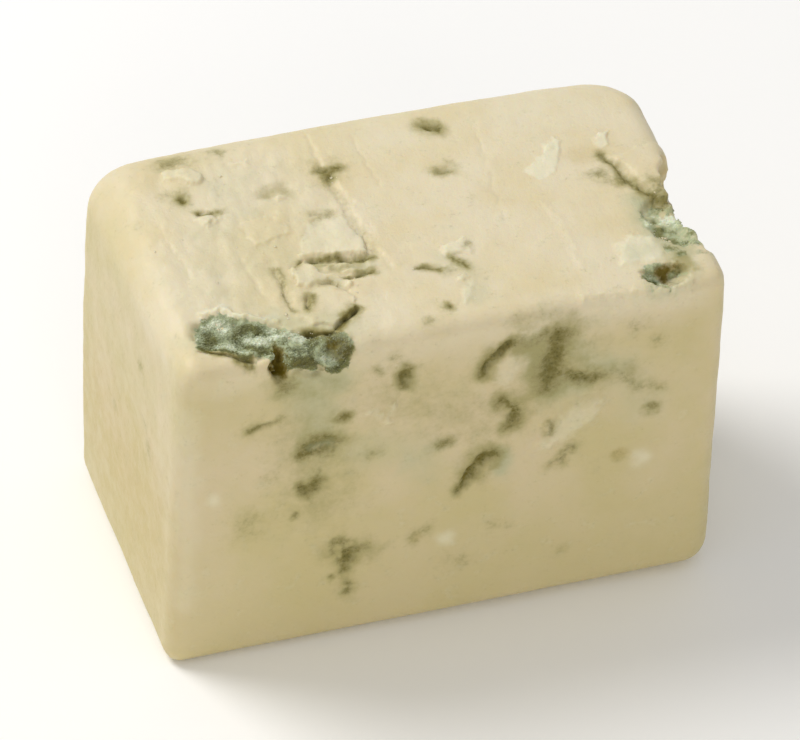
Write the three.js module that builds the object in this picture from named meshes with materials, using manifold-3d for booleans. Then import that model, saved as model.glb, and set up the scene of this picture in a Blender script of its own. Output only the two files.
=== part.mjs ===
// A chunk of blue cheese, cut by knife from a wheel: one solid, in millimetres, +Z up.
//
// It is a softened block whose cut faces sway a little. The origin is the middle of its flat base,
// +X runs along its length and -Y is its front. Hollows left open between the curds, cracks and a
// broken notch at the right end are cut into the block, and flakes that the knife dragged over the
// top are joined to it.

import * as THREE from "three";
import { mergeVertices } from "three/addons/utils/BufferGeometryUtils.js";
import Module from "manifold-3d";

// Driving sizes of the block.
const LENGTH = 40;
const DEPTH = 22.5;
const HEIGHT = 28.3;

// How far each corner's edges are rounded: [left or right][front or back][bottom or top].
const CORNER_ROUNDING = [
  [[1.2, 1.5], [1.5, 3.5]],
  [[2.3, 1.1], [1.5, 1.5]],
];

// How far at least each corner's upright edge is rounded, in the same order.
const UPRIGHT_ROUNDING = [
  [[1.2, 1.5], [2, 3.5]],
  [[2.3, 1.1], [2.5, 3.6]],
];

// How far the knife left each corner from the square block, in the same order.
const CORNER_SHIFT = [
  [[[-0.3, -0.2, 0], [0, 0, 0]], [[-0.4, 0.2, 0], [-0.6, 1.6, 0]]],
  [[[0.9, -0.1, 0], [0.2, 0, 0.2]], [[0.7, 0, 0], [0.1, 0.4, 0.1]]],
];

// How far the edges of the back bow out in their middles.
const BOW = 0.3;

// The gentle sway of the cut faces, the height over which it fades out above the flat base, and the
// grid that carries it, whose lines crowd towards the edges.
const SWAY = 0.16;
const SWAY_WAVE = 6.5;
const BASE_FADE = 3;
const CELL = 2.1;
const EDGE_CROWDING = 0.65;

// Points closer together than this are one.
const WELD = 1e-4;

// Roughness of the hollows' walls and of the flakes, as a share of their size.
const RAGGED = 0.32;
const RAGGED_WAVE = 0.27;
// Lumps longer than this have a finer surface: how often the 20 triangles of a ball are split.
const FINE_LENGTH = 3.7;
const FINE_SPLITS = 2;
const PLAIN_SPLITS = 1;
// A lump's roughness is its own, picked by its place and this share of its turn.
const TURN_SHARE = 0.1;
// Below 1, a lump's floor flattens and its walls steepen.
const SQUARENESS = 0.7;
// A hollow's middle lies this share of its depth outside the face.
const FLARE = 0.15;
// Lumps take their height from the face's sway and bow, read clear of the rounded edges: within this
// share of the way from the face's middle to its edges.
const LEVEL_REACH = 0.85;
// A flake is sunk this share of its height into the face, so that it fuses with it, and its front
// edge stands higher, turned up by this many degrees.
const BEDDED = 0.35;
const FLAKE_TILT = 7;

// Hollows: face, place on the face, turn in degrees, then length, width and depth.
// A place is x, y on the top, x, z on the front and the back, and y, z on the right end.
const HOLLOWS = [
  // the long mould hollow that breaks the top's front edge
  ["top", -16.3, -7.9, -24, 4.4, 3.3, 1],
  ["top", -13.8, -9.1, -18, 4.8, 3.1, 1.3],
  ["top", -11.2, -10.2, -10, 4.6, 2.7, 1.6],
  ["top", -8.9, -10.9, 2, 3.8, 2.2, 1.8],
  ["front", -12.8, 27.2, 80, 2.9, 1.5, 2.1],
  ["front", -9.6, 26.8, 6, 4.4, 2, 1],
  // crevices between the flakes behind it
  ["top", -6.2, -2.5, -8, 4.8, 0.6, 0.3],
  ["top", -5.1, -4.4, 12, 2.1, 0.45, 0.4],
  ["top", -7.2, -8.5, 38, 3.2, 0.45, 0.5],
  ["top", -9.4, -9.6, -12, 2, 0.6, 0.6],
  ["top", -9.4, -6.3, 77, 1.6, 0.4, 0.3],
  ["top", -10.7, -4.6, -86, 4.6, 0.4, 0.25],
  // the knife's drag line
  ["top", -3.9, 2.9, -84, 7.6, 0.9, 0.2],
  ["top", -3.1, -2.6, -76, 4, 0.7, 0.15],
  // scattered openings of the top
  ["top", -14.9, 6, 70, 0.9, 0.6, 0.55],
  ["top", -13.7, 4.3, -20, 1.8, 0.4, 0.35],
  ["top", -8.3, 5.3, 0, 3, 1.8, 0.35],
  ["top", -4.3, 6.4, -40, 1.9, 0.8, 0.45],
  ["top", 4.4, 9.1, -38, 1.8, 0.7, 0.55],
  ["top", 4, 4.5, 5, 1.3, 0.7, 0.4],
  ["top", 0.1, -4.9, -10, 2.4, 0.5, 0.35],
  ["top", 0.2, -9.2, 0, 0.7, 0.6, 0.45],
  // the broken right end: its crack, its notch and the dark hole in front of them
  ["top", 16.9, 0.2, -64, 6, 0.9, 0.4],
  ["top", 17.6, -4.6, -78, 5.6, 2.6, 0.7],
  ["right", -2.5, 27.6, 0, 11.2, 8, 2.3],
  ["top", 15.9, -9.8, -8, 4, 2, 1.5],
  // the veins of the front that have opened
  ["front", 3, 24.5, 52, 3.6, 0.7, 0.4],
  ["front", 7.3, 23.4, 84, 4.9, 1.4, 0.3],
  ["front", 9.4, 21.3, -8, 3.4, 0.9, 0.25],
  ["front", -3.6, 24.1, -80, 1.9, 0.9, 0.4],
  ["front", 4.4, 19.2, -60, 2.4, 1.4, 0.4],
  ["front", 2, 14.2, 58, 3.9, 1.1, 0.45],
  ["front", -9.7, 19, 2, 2.7, 1.3, 0.3],
  ["front", -10.3, 15.3, 28, 1.9, 1, 0.35],
  ["front", -13.8, 22, 12, 2, 0.5, 0.2],
  ["front", -7.1, 8.2, -60, 1.6, 1, 0.25],
  ["front", -7.1, 4.7, 85, 1.2, 0.6, 0.2],
  // those of the back and of the right end
  ["back", -8.8, 19.5, -75, 3.4, 1, 0.45],
  ["back", -0.6, 15.4, 25, 3, 0.9, 0.5],
  ["back", 10.2, 21.4, 20, 2.8, 1.1, 0.5],
  ["back", 12.1, 9.9, -70, 1.8, 0.6, 0.35],
  ["back", -4.8, 24.2, 30, 2.2, 0.6, 0.4],
  ["back", 3.8, 6.8, -25, 1.4, 0.5, 0.3],
  ["right", -3.9, 19.8, -50, 2.4, 0.9, 0.45],
  ["right", 5.4, 17, 35, 2.6, 0.8, 0.4],
  ["right", 1.8, 8, -30, 1.4, 0.5, 0.3],
];

// Raised flakes and smears, in the same order: length, width and height.
const FLAKES = [
  ["top", -6.0, -0.2, -10, 4.6, 4.0, 0.35],
  ["top", -7.8, -3.9, -20, 4.0, 1.7, 0.35],
  ["top", -8.2, -6.9, 0, 4.2, 3.2, 0.35],
  ["top", -14.2, 8.4, -12, 3.2, 1.5, 0.35],
  ["top", -13.8, 3.5, 0, 1.7, 1.1, 0.35],
  ["top", 11.3, 3.9, 50, 4.4, 1.8, 0.3],
  ["top", 15.9, 4.7, 70, 2.0, 0.9, 0.3],
  ["top", 2.3, -3.4, 12, 1.9, 1.2, 0.35],
  ["top", 2.0, -6.5, 0, 0.9, 0.8, 0.3],
  ["top", 1.8, -8.3, 60, 2.2, 0.9, 0.3],
  ["top", 14.9, -7.0, 0, 3.2, 2.6, 0.3],
  ["front", 8.8, 17.0, 42, 4.6, 2.4, 0.3],
];

// Each face: the way it looks, its two directions, and the point its places are counted from.
const FACES = {
  top: { normal: [0, 0, 1], along: [1, 0, 0], across: [0, 1, 0], from: [0, 0, HEIGHT] },
  front: { normal: [0, -1, 0], along: [1, 0, 0], across: [0, 0, 1], from: [0, -DEPTH / 2, 0] },
  back: { normal: [0, 1, 0], along: [1, 0, 0], across: [0, 0, 1], from: [0, DEPTH / 2, 0] },
  right: { normal: [1, 0, 0], along: [0, 1, 0], across: [0, 0, 1], from: [LENGTH / 2, 0, 0] },
};

const UP = new THREE.Vector3(0, 0, 1);

const wasm = await Module();
wasm.setup();

// Mixes eight values held at the block's corners, for a place from -1 to 1 along each axis.
function fromCorners(values, x, y, z) {
  const share = (t, side) => (side ? 1 + t : 1 - t) / 2;
  let sum = 0;
  for (const i of [0, 1]) {
    for (const j of [0, 1]) {
      for (const k of [0, 1]) {
        sum += share(x, i) * share(y, j) * share(z, k) * values[i][j][k];
      }
    }
  }
  return sum;
}

// A slow, even swell from -1 to 1: three crossed sine waves that never line up.
function swell(p, wave) {
  const a = Math.sin(p.x / wave + 1.3 * Math.sin(p.z / wave + 0.4));
  const b = Math.sin((1.31 * p.y) / wave + 1.1 * Math.sin(p.x / wave - 1.7));
  const c = Math.sin((0.87 * p.z) / wave + 1.2 * Math.sin((1.2 * p.y) / wave + 2.1));
  return (a + b + c) / 3;
}

// Crowds the grid's lines towards the edges, where the surface turns.
function crowd(t) {
  return THREE.MathUtils.lerp(t, Math.sin((t * Math.PI) / 2), EDGE_CROWDING);
}

// Where a point of the box's surface, from -1 to 1 along each axis, lies on the block.
function blockPoint(x, y, z) {
  const half = new THREE.Vector3(LENGTH / 2, DEPTH / 2, HEIGHT / 2);
  const rounding = fromCorners(CORNER_ROUNDING, x, y, z);
  const upright = Math.max(rounding, fromCorners(UPRIGHT_ROUNDING, x, y, z));
  const flat = new THREE.Vector3(x, y, z).multiply(half);
  // seen from above, the place is kept to a core, and its reach from there to what leaves the rounding
  const inner = half.clone().sub(new THREE.Vector3(upright, upright, rounding));
  const core = flat.clone().clamp(inner.clone().negate(), inner);
  const aside = flat.clone().sub(core).projectOnPlane(UP);
  const reach = Math.max(Math.abs(aside.x), Math.abs(aside.y));
  const kept = Math.min(reach, upright - rounding);
  aside.normalize();
  core.addScaledVector(aside, kept);
  const outward = aside.multiplyScalar(reach - kept).addScaledVector(UP, flat.z - core.z).normalize();
  const point = core.addScaledVector(outward, rounding);
  point.z += HEIGHT / 2;
  const lift = THREE.MathUtils.smoothstep(point.z, 0, BASE_FADE);
  const sway = SWAY * lift * swell(point, SWAY_WAVE);
  const shift = [0, 1, 2].map((axis) => {
    const values = CORNER_SHIFT.map((side) => side.map((end) => end.map((corner) => corner[axis])));
    return fromCorners(values, x, y, z);
  });
  const along = 1 - x * x;
  const upward = (1 + z) / 2;
  const bow = new THREE.Vector3((-(1 - z * z) * (1 - x)) / 2, along * upward, along * upward);
  point.addScaledVector(outward, sway).add(new THREE.Vector3(shift[0], shift[1], shift[2] * lift));
  return point.addScaledVector(bow, (BOW * (1 + y)) / 2);
}

// The point of a face at u along it and v across it, raised to where the block's surface lies there.
function facePoint(face, u, v) {
  const [from, along, across, normal] = [face.from, face.along, face.across, face.normal].map(
    (values) => new THREE.Vector3(...values),
  );
  const flat = from.addScaledVector(along, u).addScaledVector(across, v);
  const spot = flat.clone().divide(new THREE.Vector3(LENGTH / 2, DEPTH / 2, HEIGHT / 2));
  spot.z -= 1;
  spot.clampScalar(-LEVEL_REACH, LEVEL_REACH).projectOnPlane(normal).add(normal);
  return flat.addScaledVector(normal, blockPoint(spot.x, spot.y, spot.z).sub(flat).dot(normal));
}

// A closed geometry as a solid that can be cut and joined.
function solidFrom(geometry) {
  const bare = geometry.index ? geometry.toNonIndexed() : geometry.clone();
  bare.deleteAttribute("normal");
  bare.deleteAttribute("uv");
  const merged = mergeVertices(bare, WELD);
  return new wasm.Manifold(new wasm.Mesh({
    numProp: 3,
    vertProperties: merged.attributes.position.array,
    triVerts: new Uint32Array(merged.index.array),
  }));
}

// The block without its hollows and flakes.
function block() {
  const counts = [LENGTH, DEPTH, HEIGHT].map((size) => Math.round(size / CELL));
  const geometry = new THREE.BoxGeometry(2, 2, 2, ...counts);
  const place = geometry.attributes.position;
  for (let i = 0; i < place.count; i++) {
    const point = blockPoint(crowd(place.getX(i)), crowd(place.getY(i)), crowd(place.getZ(i)));
    place.setXYZ(i, point.x, point.y, point.z);
  }
  return solidFrom(geometry);
}

// A ragged, flattened ball laid on a face: two axes lie in the face, the third along its normal.
function raggedLump([faceName, u, v, turn, length, width, height], offset, tilt) {
  const geometry = new THREE.IcosahedronGeometry(1, length > FINE_LENGTH ? FINE_SPLITS : PLAIN_SPLITS);
  const place = geometry.attributes.position;
  const point = new THREE.Vector3();
  const seedShift = new THREE.Vector3(u, v, TURN_SHARE * turn);
  for (let i = 0; i < place.count; i++) {
    point.fromBufferAttribute(place, i);
    const ragged = 1 + RAGGED * swell(point.clone().add(seedShift), RAGGED_WAVE);
    point.z = Math.sign(point.z) * Math.abs(point.z) ** SQUARENESS;
    place.setXYZ(i, ...point.multiplyScalar(ragged).toArray());
  }
  const face = FACES[faceName];
  const along = new THREE.Vector3(...face.along);
  const across = new THREE.Vector3(...face.across);
  const middle = facePoint(face, u, v).addScaledVector(new THREE.Vector3(...face.normal), offset);
  geometry.scale(length / 2, width / 2, height);
  geometry.rotateZ(THREE.MathUtils.degToRad(turn)).rotateX(THREE.MathUtils.degToRad(-tilt));
  geometry.applyMatrix4(new THREE.Matrix4().makeBasis(along, across, along.clone().cross(across)));
  return solidFrom(geometry.translate(middle.x, middle.y, middle.z));
}

// The chunk: the block with its flakes joined and its hollows cut. Slivers that come loose fall away.
function chunk() {
  const flakes = FLAKES.map((flake) => raggedLump(flake, (0.5 - BEDDED) * flake[6], FLAKE_TILT));
  const cuts = HOLLOWS.map((hollow) => raggedLump(hollow, FLARE * hollow[6], 0));
  let solid = block();
  for (const flake of flakes) {
    solid = solid.add(flake);
  }
  for (const cut of cuts) {
    solid = solid.subtract(cut);
  }
  const bodies = solid.decompose();
  return bodies.sort((one, other) => other.volume() - one.volume())[0];
}

// A solid as a three.js geometry, with the middle of its base at the origin.
function geometryFrom(solid) {
  const mesh = solid.getMesh();
  const places = new Float32Array(mesh.numVert * 3);
  for (let i = 0; i < mesh.numVert; i++) {
    places.set(mesh.vertProperties.subarray(i * mesh.numProp, i * mesh.numProp + 3), i * 3);
  }
  const geometry = new THREE.BufferGeometry();
  geometry.setAttribute("position", new THREE.BufferAttribute(places, 3));
  geometry.setIndex(new THREE.BufferAttribute(mesh.triVerts, 1));
  geometry.computeBoundingBox();
  const middle = geometry.boundingBox.getCenter(new THREE.Vector3());
  geometry.translate(-middle.x, -middle.y, -geometry.boundingBox.min.z);
  geometry.computeVertexNormals();
  return geometry;
}

const paste = new THREE.MeshStandardMaterial({ color: 0xdccfa4, roughness: 0.55, metalness: 0 });

const cheese = new THREE.Mesh(geometryFrom(chunk()), paste);
cheese.name = "cheese";

const chunkOfCheese = new THREE.Group();
chunkOfCheese.add(cheese);

export default chunkOfCheese;
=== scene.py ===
"""A chunk of blue cheese on a pale floor: cut paste with hollows and cracks, flakes that the knife dragged
over the top, mould growing in the hollows, veins under the surface and loose crumbs of curd.

Lengths are in millimetres until a mesh is made, which is in metres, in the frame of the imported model.
"""

import math
from itertools import chain, product

import bpy
import numpy as np
from mathutils import Matrix, Vector


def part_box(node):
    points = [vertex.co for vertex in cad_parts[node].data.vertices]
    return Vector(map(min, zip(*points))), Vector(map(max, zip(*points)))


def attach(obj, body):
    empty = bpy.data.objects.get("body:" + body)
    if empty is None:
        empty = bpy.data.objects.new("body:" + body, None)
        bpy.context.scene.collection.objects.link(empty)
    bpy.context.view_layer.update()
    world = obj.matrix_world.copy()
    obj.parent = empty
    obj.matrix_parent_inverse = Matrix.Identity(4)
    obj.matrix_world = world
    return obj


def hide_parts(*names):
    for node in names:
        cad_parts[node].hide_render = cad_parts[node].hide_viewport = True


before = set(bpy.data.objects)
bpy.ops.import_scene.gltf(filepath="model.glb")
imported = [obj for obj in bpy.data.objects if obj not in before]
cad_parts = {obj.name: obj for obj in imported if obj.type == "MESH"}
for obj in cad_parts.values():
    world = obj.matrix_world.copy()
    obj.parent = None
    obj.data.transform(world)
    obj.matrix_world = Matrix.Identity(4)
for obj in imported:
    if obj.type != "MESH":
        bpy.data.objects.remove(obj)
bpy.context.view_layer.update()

MM = 0.001
PASTE_LOW, PASTE_HIGH = (np.array(corner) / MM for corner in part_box("cheese"))

# The block that the chunk was cut to.
LENGTH, DEPTH, HEIGHT = 40.0, 22.5, 28.3
HALF = np.array([LENGTH, DEPTH, HEIGHT]) / 2

# How far each corner's edges are rounded, how far at least its upright edge is, and how far the knife left
# each corner from the square block: [left or right][front or back][bottom or top].
CORNER_ROUNDING = [
    [[1.2, 1.5], [1.5, 3.5]],
    [[2.3, 1.1], [1.5, 1.5]],
]
UPRIGHT_ROUNDING = [
    [[1.2, 1.5], [2.0, 3.5]],
    [[2.3, 1.1], [2.5, 3.6]],
]
CORNER_SHIFT = [
    [[(-0.3, -0.2, 0), (0, 0, 0)], [(-0.4, 0.2, 0), (-0.6, 1.6, 0)]],
    [[(0.9, -0.1, 0), (0.2, 0, 0.2)], [(0.7, 0, 0), (0.1, 0.4, 0.1)]],
]

# How far the edges of the back bow out in their middles.
BOW = 0.3

# The gentle sway of the cut faces, which fades out above the flat base.
SWAY, SWAY_WAVE, BASE_FADE = 0.16, 6.5, 3.0

# Cells of the grid that the paste starts from, and the longest sides that its triangles keep: on the
# crumbly left of the top, on the top and front, on the left end, on the back and right, and on the base.
PASTE_CELLS = (50, 28, 36)
CRUMBLY_GRAIN, FRONT_GRAIN, LEFT_GRAIN, BACK_GRAIN, BASE_GRAIN = 0.34, 0.56, 0.7, 0.9, 1.8
# In hollows, at steps and strokes and at marks they are shorter, and grow by GRAIN_SLOPE with the distance.
HOLLOW_GRAIN, STEP_GRAIN, STROKE_GRAIN, MOULD_GRAIN, MARK_GRAIN = 0.22, 0.165, 0.2, 0.143, 0.42
GRAIN_SLOPE = 0.4
# A place this near the plane of a face counts as on it, the base lies below BASE_TOP, the crumbly part of
# the top ends at CRUMBLY_END, and a detail keeps the triangles short this far below and above its face.
FACE_BAND, BASE_TOP, CRUMBLY_END, GRAIN_REACH = 0.7, 0.05, -2.5, 1.5
# The grid of spots on a face at which the wanted sides are held.
MAP_START, MAP_STEP, MAP_CELLS = (-22, -13), 0.25, (177, 177)

# The surface is pushed in and out from a core this far inside, so that pushed points never cross.
CORE_INSET = 5.0

# Lumps take their height from the block's surface, read within this share of the way to its edges.
LEVEL_REACH = 0.85

# Each face: the way it looks, its two directions, and the point its places are counted from.
FACES = {
    "top": ((0, 0, 1), (1, 0, 0), (0, 1, 0), (0, 0, HEIGHT)),
    "front": ((0, -1, 0), (1, 0, 0), (0, 0, 1), (0, -DEPTH / 2, 0)),
    "back": ((0, 1, 0), (1, 0, 0), (0, 0, 1), (0, DEPTH / 2, 0)),
    "left": ((-1, 0, 0), (0, 1, 0), (0, 0, 1), (-LENGTH / 2, 0, 0)),
    "right": ((1, 0, 0), (0, 1, 0), (0, 0, 1), (LENGTH / 2, 0, 0)),
}

# Hollows: face, place on the face, turn in degrees, length, width and depth, and how much mould and
# how much brown rot they hold.
HOLLOWS = [
    # the long mould hollow that breaks the top's front edge
    ("top", -16.3, -7.9, -24, 4.4, 3.3, 1.0, 0.9, 0.0),
    ("top", -13.8, -9.1, -18, 4.8, 3.1, 1.3, 0.9, 0.0),
    ("top", -11.2, -10.2, -10, 4.6, 2.7, 1.6, 0.9, 0.0),
    ("top", -8.9, -10.9, 2, 3.8, 2.2, 1.8, 0.9, 0.1),
    ("front", -12.8, 27.2, 80, 2.9, 1.5, 2.1, 0.3, 1.0),
    ("front", -9.6, 26.8, 6, 4.4, 2.0, 1.0, 0.9, 0.0),
    # crevices between the flakes behind it
    ("top", -6.2, -2.5, -8, 4.8, 0.6, 0.3, 0.1, 0.2),
    ("top", -5.1, -4.4, 12, 2.1, 0.45, 0.4, 0.2, 0.2),
    ("top", -7.2, -8.5, 38, 3.2, 0.45, 0.5, 0.2, 0.8),
    ("top", -9.4, -9.6, -12, 2.0, 0.6, 0.6, 0.3, 0.8),
    ("top", -9.4, -6.3, 77, 1.6, 0.4, 0.3, 0.3, 0.2),
    ("top", -10.7, -4.6, -86, 4.6, 0.4, 0.25, 0.1, 0.0),
    # the knife's drag line
    ("top", -3.9, 2.9, -84, 7.6, 0.9, 0.2, 0.0, 0.0),
    ("top", -3.1, -2.6, -76, 4.0, 0.7, 0.15, 0.0, 0.0),
    # scattered openings of the top
    ("top", -14.9, 6.0, 70, 0.9, 0.6, 0.55, 0.2, 0.6),
    ("top", -13.7, 4.3, -20, 1.8, 0.4, 0.35, 0.1, 0.1),
    ("top", -8.3, 5.3, 0, 3.0, 1.8, 0.35, 0.1, 0.0),
    ("top", -4.3, 6.4, -40, 1.9, 0.8, 0.45, 0.4, 0.2),
    ("top", 4.4, 9.1, -38, 1.8, 0.7, 0.55, 0.5, 0.2),
    ("top", 4.0, 4.5, 5, 1.3, 0.7, 0.4, 0.4, 0.1),
    ("top", 0.1, -4.9, -10, 2.4, 0.5, 0.35, 0.4, 0.2),
    ("top", 0.2, -9.2, 0, 0.7, 0.6, 0.45, 0.4, 0.4),
    # the broken right end: its crack, its notch and the dark hole in front of them
    ("top", 16.9, 0.2, -64, 6.0, 0.9, 0.4, 0.2, 0.3),
    ("top", 17.6, -4.6, -78, 5.6, 2.6, 0.7, 0.4, 0.0),
    ("right", -2.5, 27.6, 0, 11.2, 8.0, 2.3, 0.1, 0.0),
    ("top", 15.9, -9.8, -8, 4.0, 2.0, 1.5, 0.6, 0.4),
    # the veins of the front that have opened
    ("front", 3.0, 24.5, 52, 3.6, 0.7, 0.4, 0.2, 0.4),
    ("front", 7.3, 23.4, 84, 4.9, 1.4, 0.3, 0.1, 0.3),
    ("front", 9.4, 21.3, -8, 3.4, 0.9, 0.25, 0.2, 0.2),
    ("front", -3.6, 24.1, -80, 1.9, 0.9, 0.4, 0.3, 0.4),
    ("front", 4.4, 19.2, -60, 2.4, 1.4, 0.4, 0.2, 0.6),
    ("front", 2.0, 14.2, 58, 3.9, 1.1, 0.45, 0.3, 0.6),
    ("front", -9.7, 19.0, 2, 2.7, 1.3, 0.3, 0.4, 0.2),
    ("front", -10.3, 15.3, 28, 1.9, 1.0, 0.35, 0.3, 0.4),
    ("front", -13.8, 22.0, 12, 2.0, 0.5, 0.2, 0.1, 0.2),
    ("front", -7.1, 8.2, -60, 1.6, 1.0, 0.25, 0.1, 0.2),
    ("front", -7.1, 4.7, 85, 1.2, 0.6, 0.2, 0.1, 0.2),
    # those of the back and of the right end
    ("back", -8.8, 19.5, -75, 3.4, 1.0, 0.45, 0.3, 0.2),
    ("back", -0.6, 15.4, 25, 3.0, 0.9, 0.5, 0.4, 0.3),
    ("back", 10.2, 21.4, 20, 2.8, 1.1, 0.5, 0.4, 0.2),
    ("back", 12.1, 9.9, -70, 1.8, 0.6, 0.35, 0.3, 0.3),
    ("back", -4.8, 24.2, 30, 2.2, 0.6, 0.4, 0.2, 0.2),
    ("back", 3.8, 6.8, -25, 1.4, 0.5, 0.3, 0.2, 0.2),
    ("right", -3.9, 19.8, -50, 2.4, 0.9, 0.45, 0.3, 0.3),
    ("right", 5.4, 17.0, 35, 2.6, 0.8, 0.4, 0.3, 0.2),
    ("right", 1.8, 8.0, -30, 1.4, 0.5, 0.3, 0.2, 0.2),
]
# How ragged a hollow is, the share of its depth that its middle lies outside the face, and how square it
# is: below 1 its floor is flatter. Its raggedness has waves of a share of its mean size and a bit more.
HOLLOW_RAGGED, HOLLOW_FLARE, SQUARENESS = 0.3, 0.15, 0.7
LUMP_WAVE_SHARE, LUMP_WAVE_LEAST = 0.55, 0.25
# A hollow is looked for within this many times its size and so far beyond, and dug in steps so deep.
NEAR_SHARE, NEAR_MORE = 1.5, 0.5
DIG_STEP, DIG_STEPS = 0.06, 70

# Steps, where curd was dragged up, broken out or smeared: face, height, how much more of it the far end
# along a way has, that way in degrees, how wide the step's rim is, how milky the curd is (on the front's
# light lump partly a painted highlight), and the outline.
STEPS = [
    # the crevice behind the flakes and the lumps in it, then the three flakes from back to front
    ("top", -0.16, 0.0, 0, 0.12, 0.0,
     [(-8.7, -2.2), (-7.8, -2.1), (-6.9, -2.4), (-5.8, -2.4), (-5.0, -2.8), (-4.0, -2.7), (-3.9, -3.7),
      (-4.6, -4.1), (-5.4, -4.4), (-6.4, -4.3), (-7.4, -3.7), (-8.1, -2.9)]),
    ("top", 0.14, 0.0, 0, 0.16, 0.4, [(-7.2, -2.9), (-6.9, -2.6), (-6.5, -2.9), (-6.8, -3.2)]),
    ("top", 0.14, 0.0, 0, 0.16, 0.4, [(-6.2, -3.1), (-5.8, -2.8), (-5.3, -3.2), (-5.8, -3.5)]),
    ("top", 0.16, 0.0, 0, 0.16, 0.5, [(-6.0, -3.9), (-5.3, -3.5), (-4.7, -3.7), (-5.3, -4.1)]),
    ("top", 0.14, 0.16, -75, 0.1, 0.6,
     [(-7.1, 1.5), (-6.2, 2.0), (-5.4, 1.9), (-4.3, 1.5), (-4.0, 1.0), (-3.8, 0.0), (-3.7, -1.3),
      (-3.8, -2.3),
      (-4.3, -2.5), (-5.0, -2.3), (-5.9, -1.9), (-6.8, -1.9), (-7.8, -1.8), (-8.5, -1.5), (-7.8, 0.1)]),
    ("top", 0.2, 0.2, 125, 0.1, 0.6,
     [(-9.8, -3.6), (-9.5, -2.9), (-8.5, -2.5), (-8.2, -3.1), (-7.6, -3.8), (-6.6, -4.3), (-6.0, -4.9),
      (-5.8, -5.4), (-6.3, -5.7), (-6.7, -5.3), (-7.0, -4.8), (-8.2, -4.7), (-9.6, -4.6)]),
    ("top", 0.16, 0.1, -70, 0.14, 0.3,
     [(-9.8, -4.8), (-8.3, -5.1), (-6.9, -5.6), (-6.1, -6.5), (-6.0, -7.4), (-6.8, -8.0), (-7.6, -8.4),
      (-8.6, -9.0), (-9.8, -8.5), (-10.5, -7.6), (-10.4, -6.2)]),
    ("top", 0.22, 0.0, 0, 0.15, 0.6, [(-6.4, -5.1), (-6.1, -4.8), (-5.8, -5.1), (-5.9, -5.5),
        (-6.3, -5.5)]),
    # the rest of the top's left part
    ("top", 0.2, 0.08, -80, 0.14, 0.6,
     [(-15.7, 9.2), (-14.9, 9.3), (-13.3, 8.8), (-12.7, 7.8), (-13.3, 7.5), (-14.7, 8.0), (-15.7, 8.4)]),
    ("top", 0.2, 0.08, -90, 0.2, 0.5, [(-14.6, 3.9), (-13.6, 4.0), (-13.0, 3.4), (-14.1, 2.9)]),
    ("top", 0.12, 0.05, 0, 0.25, 0.4, [(-10.9, 8.6), (-10.5, 9.1), (-9.4, 8.8), (-9.4, 8.3)]),
    ("top", 0.14, 0.0, 0, 0.2, 0.5, [(-8.3, 4.7), (-7.9, 4.8), (-7.6, 4.5), (-8.1, 4.3)]),
    ("top", 0.1, 0.06, -90, 0.2, 0.2, [(-11.8, 2.6), (-9.0, 3.1), (-8.5, 0.8), (-11.2, 0.2)]),
    # chips and crumbs of its right part
    ("top", 0.08, 0.08, 50, 0.16, 0.95,
     [(9.3, 2.9), (11.0, 4.0), (12.4, 5.8), (13.0, 5.4), (12.6, 4.0), (11.5, 2.1), (10.3, 1.8)]),
    ("top", 0.12, 0.06, 80, 0.14, 0.9, [(15.9, 5.6), (16.6, 5.5), (16.1, 4.2), (15.5, 3.7), (15.3, 4.4)]),
    ("top", 0.18, 0.0, 0, 0.25, 0.7,
     [(1.4, -3.6), (1.7, -3.0), (2.3, -2.8), (3.4, -2.8), (3.3, -3.6), (3.2, -4.1), (2.3, -4.1),
      (1.6, -4.0)]),
    ("top", 0.16, 0.0, 0, 0.2, 0.6, [(1.7, -6.4), (2.2, -6.1), (2.4, -6.6), (1.9, -6.9)]),
    ("top", 0.08, 0.0, 0, 0.25, 0.8,
     [(1.3, -8.4), (1.7, -7.6), (2.5, -7.3), (2.2, -8.2), (1.7, -8.9), (1.2, -9.4)]),
    # the lump behind the right end's crack, and the smooth milky patch in front of its notch
    ("top", 0.1, 0.0, 20, 0.25, 0.0, [(16.2, 2.9), (16.8, 0.2), (18.4, -2.2), (21.0, -1.6), (21.0, 4.0)]),
    ("top", 0.14, 0.0, 0, 0.4, 1.0,
     [(13.4, -6.4), (14.5, -5.5), (16.0, -5.8), (16.5, -7.2), (16.0, -8.4), (14.9, -8.6), (13.2, -8.0)]),
    # the light lump of the front, pale curd with a painted highlight, and the low one in its arc
    ("front", 0.3, 0.0, 0, 0.65, 0.55,
     [(10.9, 19.0), (11.0, 17.6), (9.9, 16.3), (8.6, 15.6), (7.2, 14.9), (6.4, 15.6), (7.2, 17.4),
      (8.8, 18.8)]),
    ("front", 0.12, 0.0, 0, 0.4, 0.5, [(2.9, 24.3), (4.6, 24.8), (5.0, 23.0), (4.3, 21.8), (3.0, 21.9)]),
    # chips of curd high on the front
    ("front", 0.1, 0.0, 0, 0.16, 0.6, [(-6.5, 21.7), (-6.2, 22.0), (-5.8, 21.8), (-6.1, 21.4)]),
    ("front", 0.1, 0.0, 0, 0.16, 0.6, [(-5.5, 21.3), (-5.1, 21.6), (-4.9, 21.3), (-5.2, 21.1)]),
    ("front", 0.1, 0.0, 0, 0.16, 0.6, [(-4.6, 21.9), (-4.2, 22.0), (-4.1, 21.5), (-4.4, 21.5)]),
    ("front", 0.1, 0.0, 0, 0.16, 0.6, [(-5.0, 20.5), (-4.7, 20.6), (-4.5, 20.3), (-4.8, 20.2)]),
]

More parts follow.
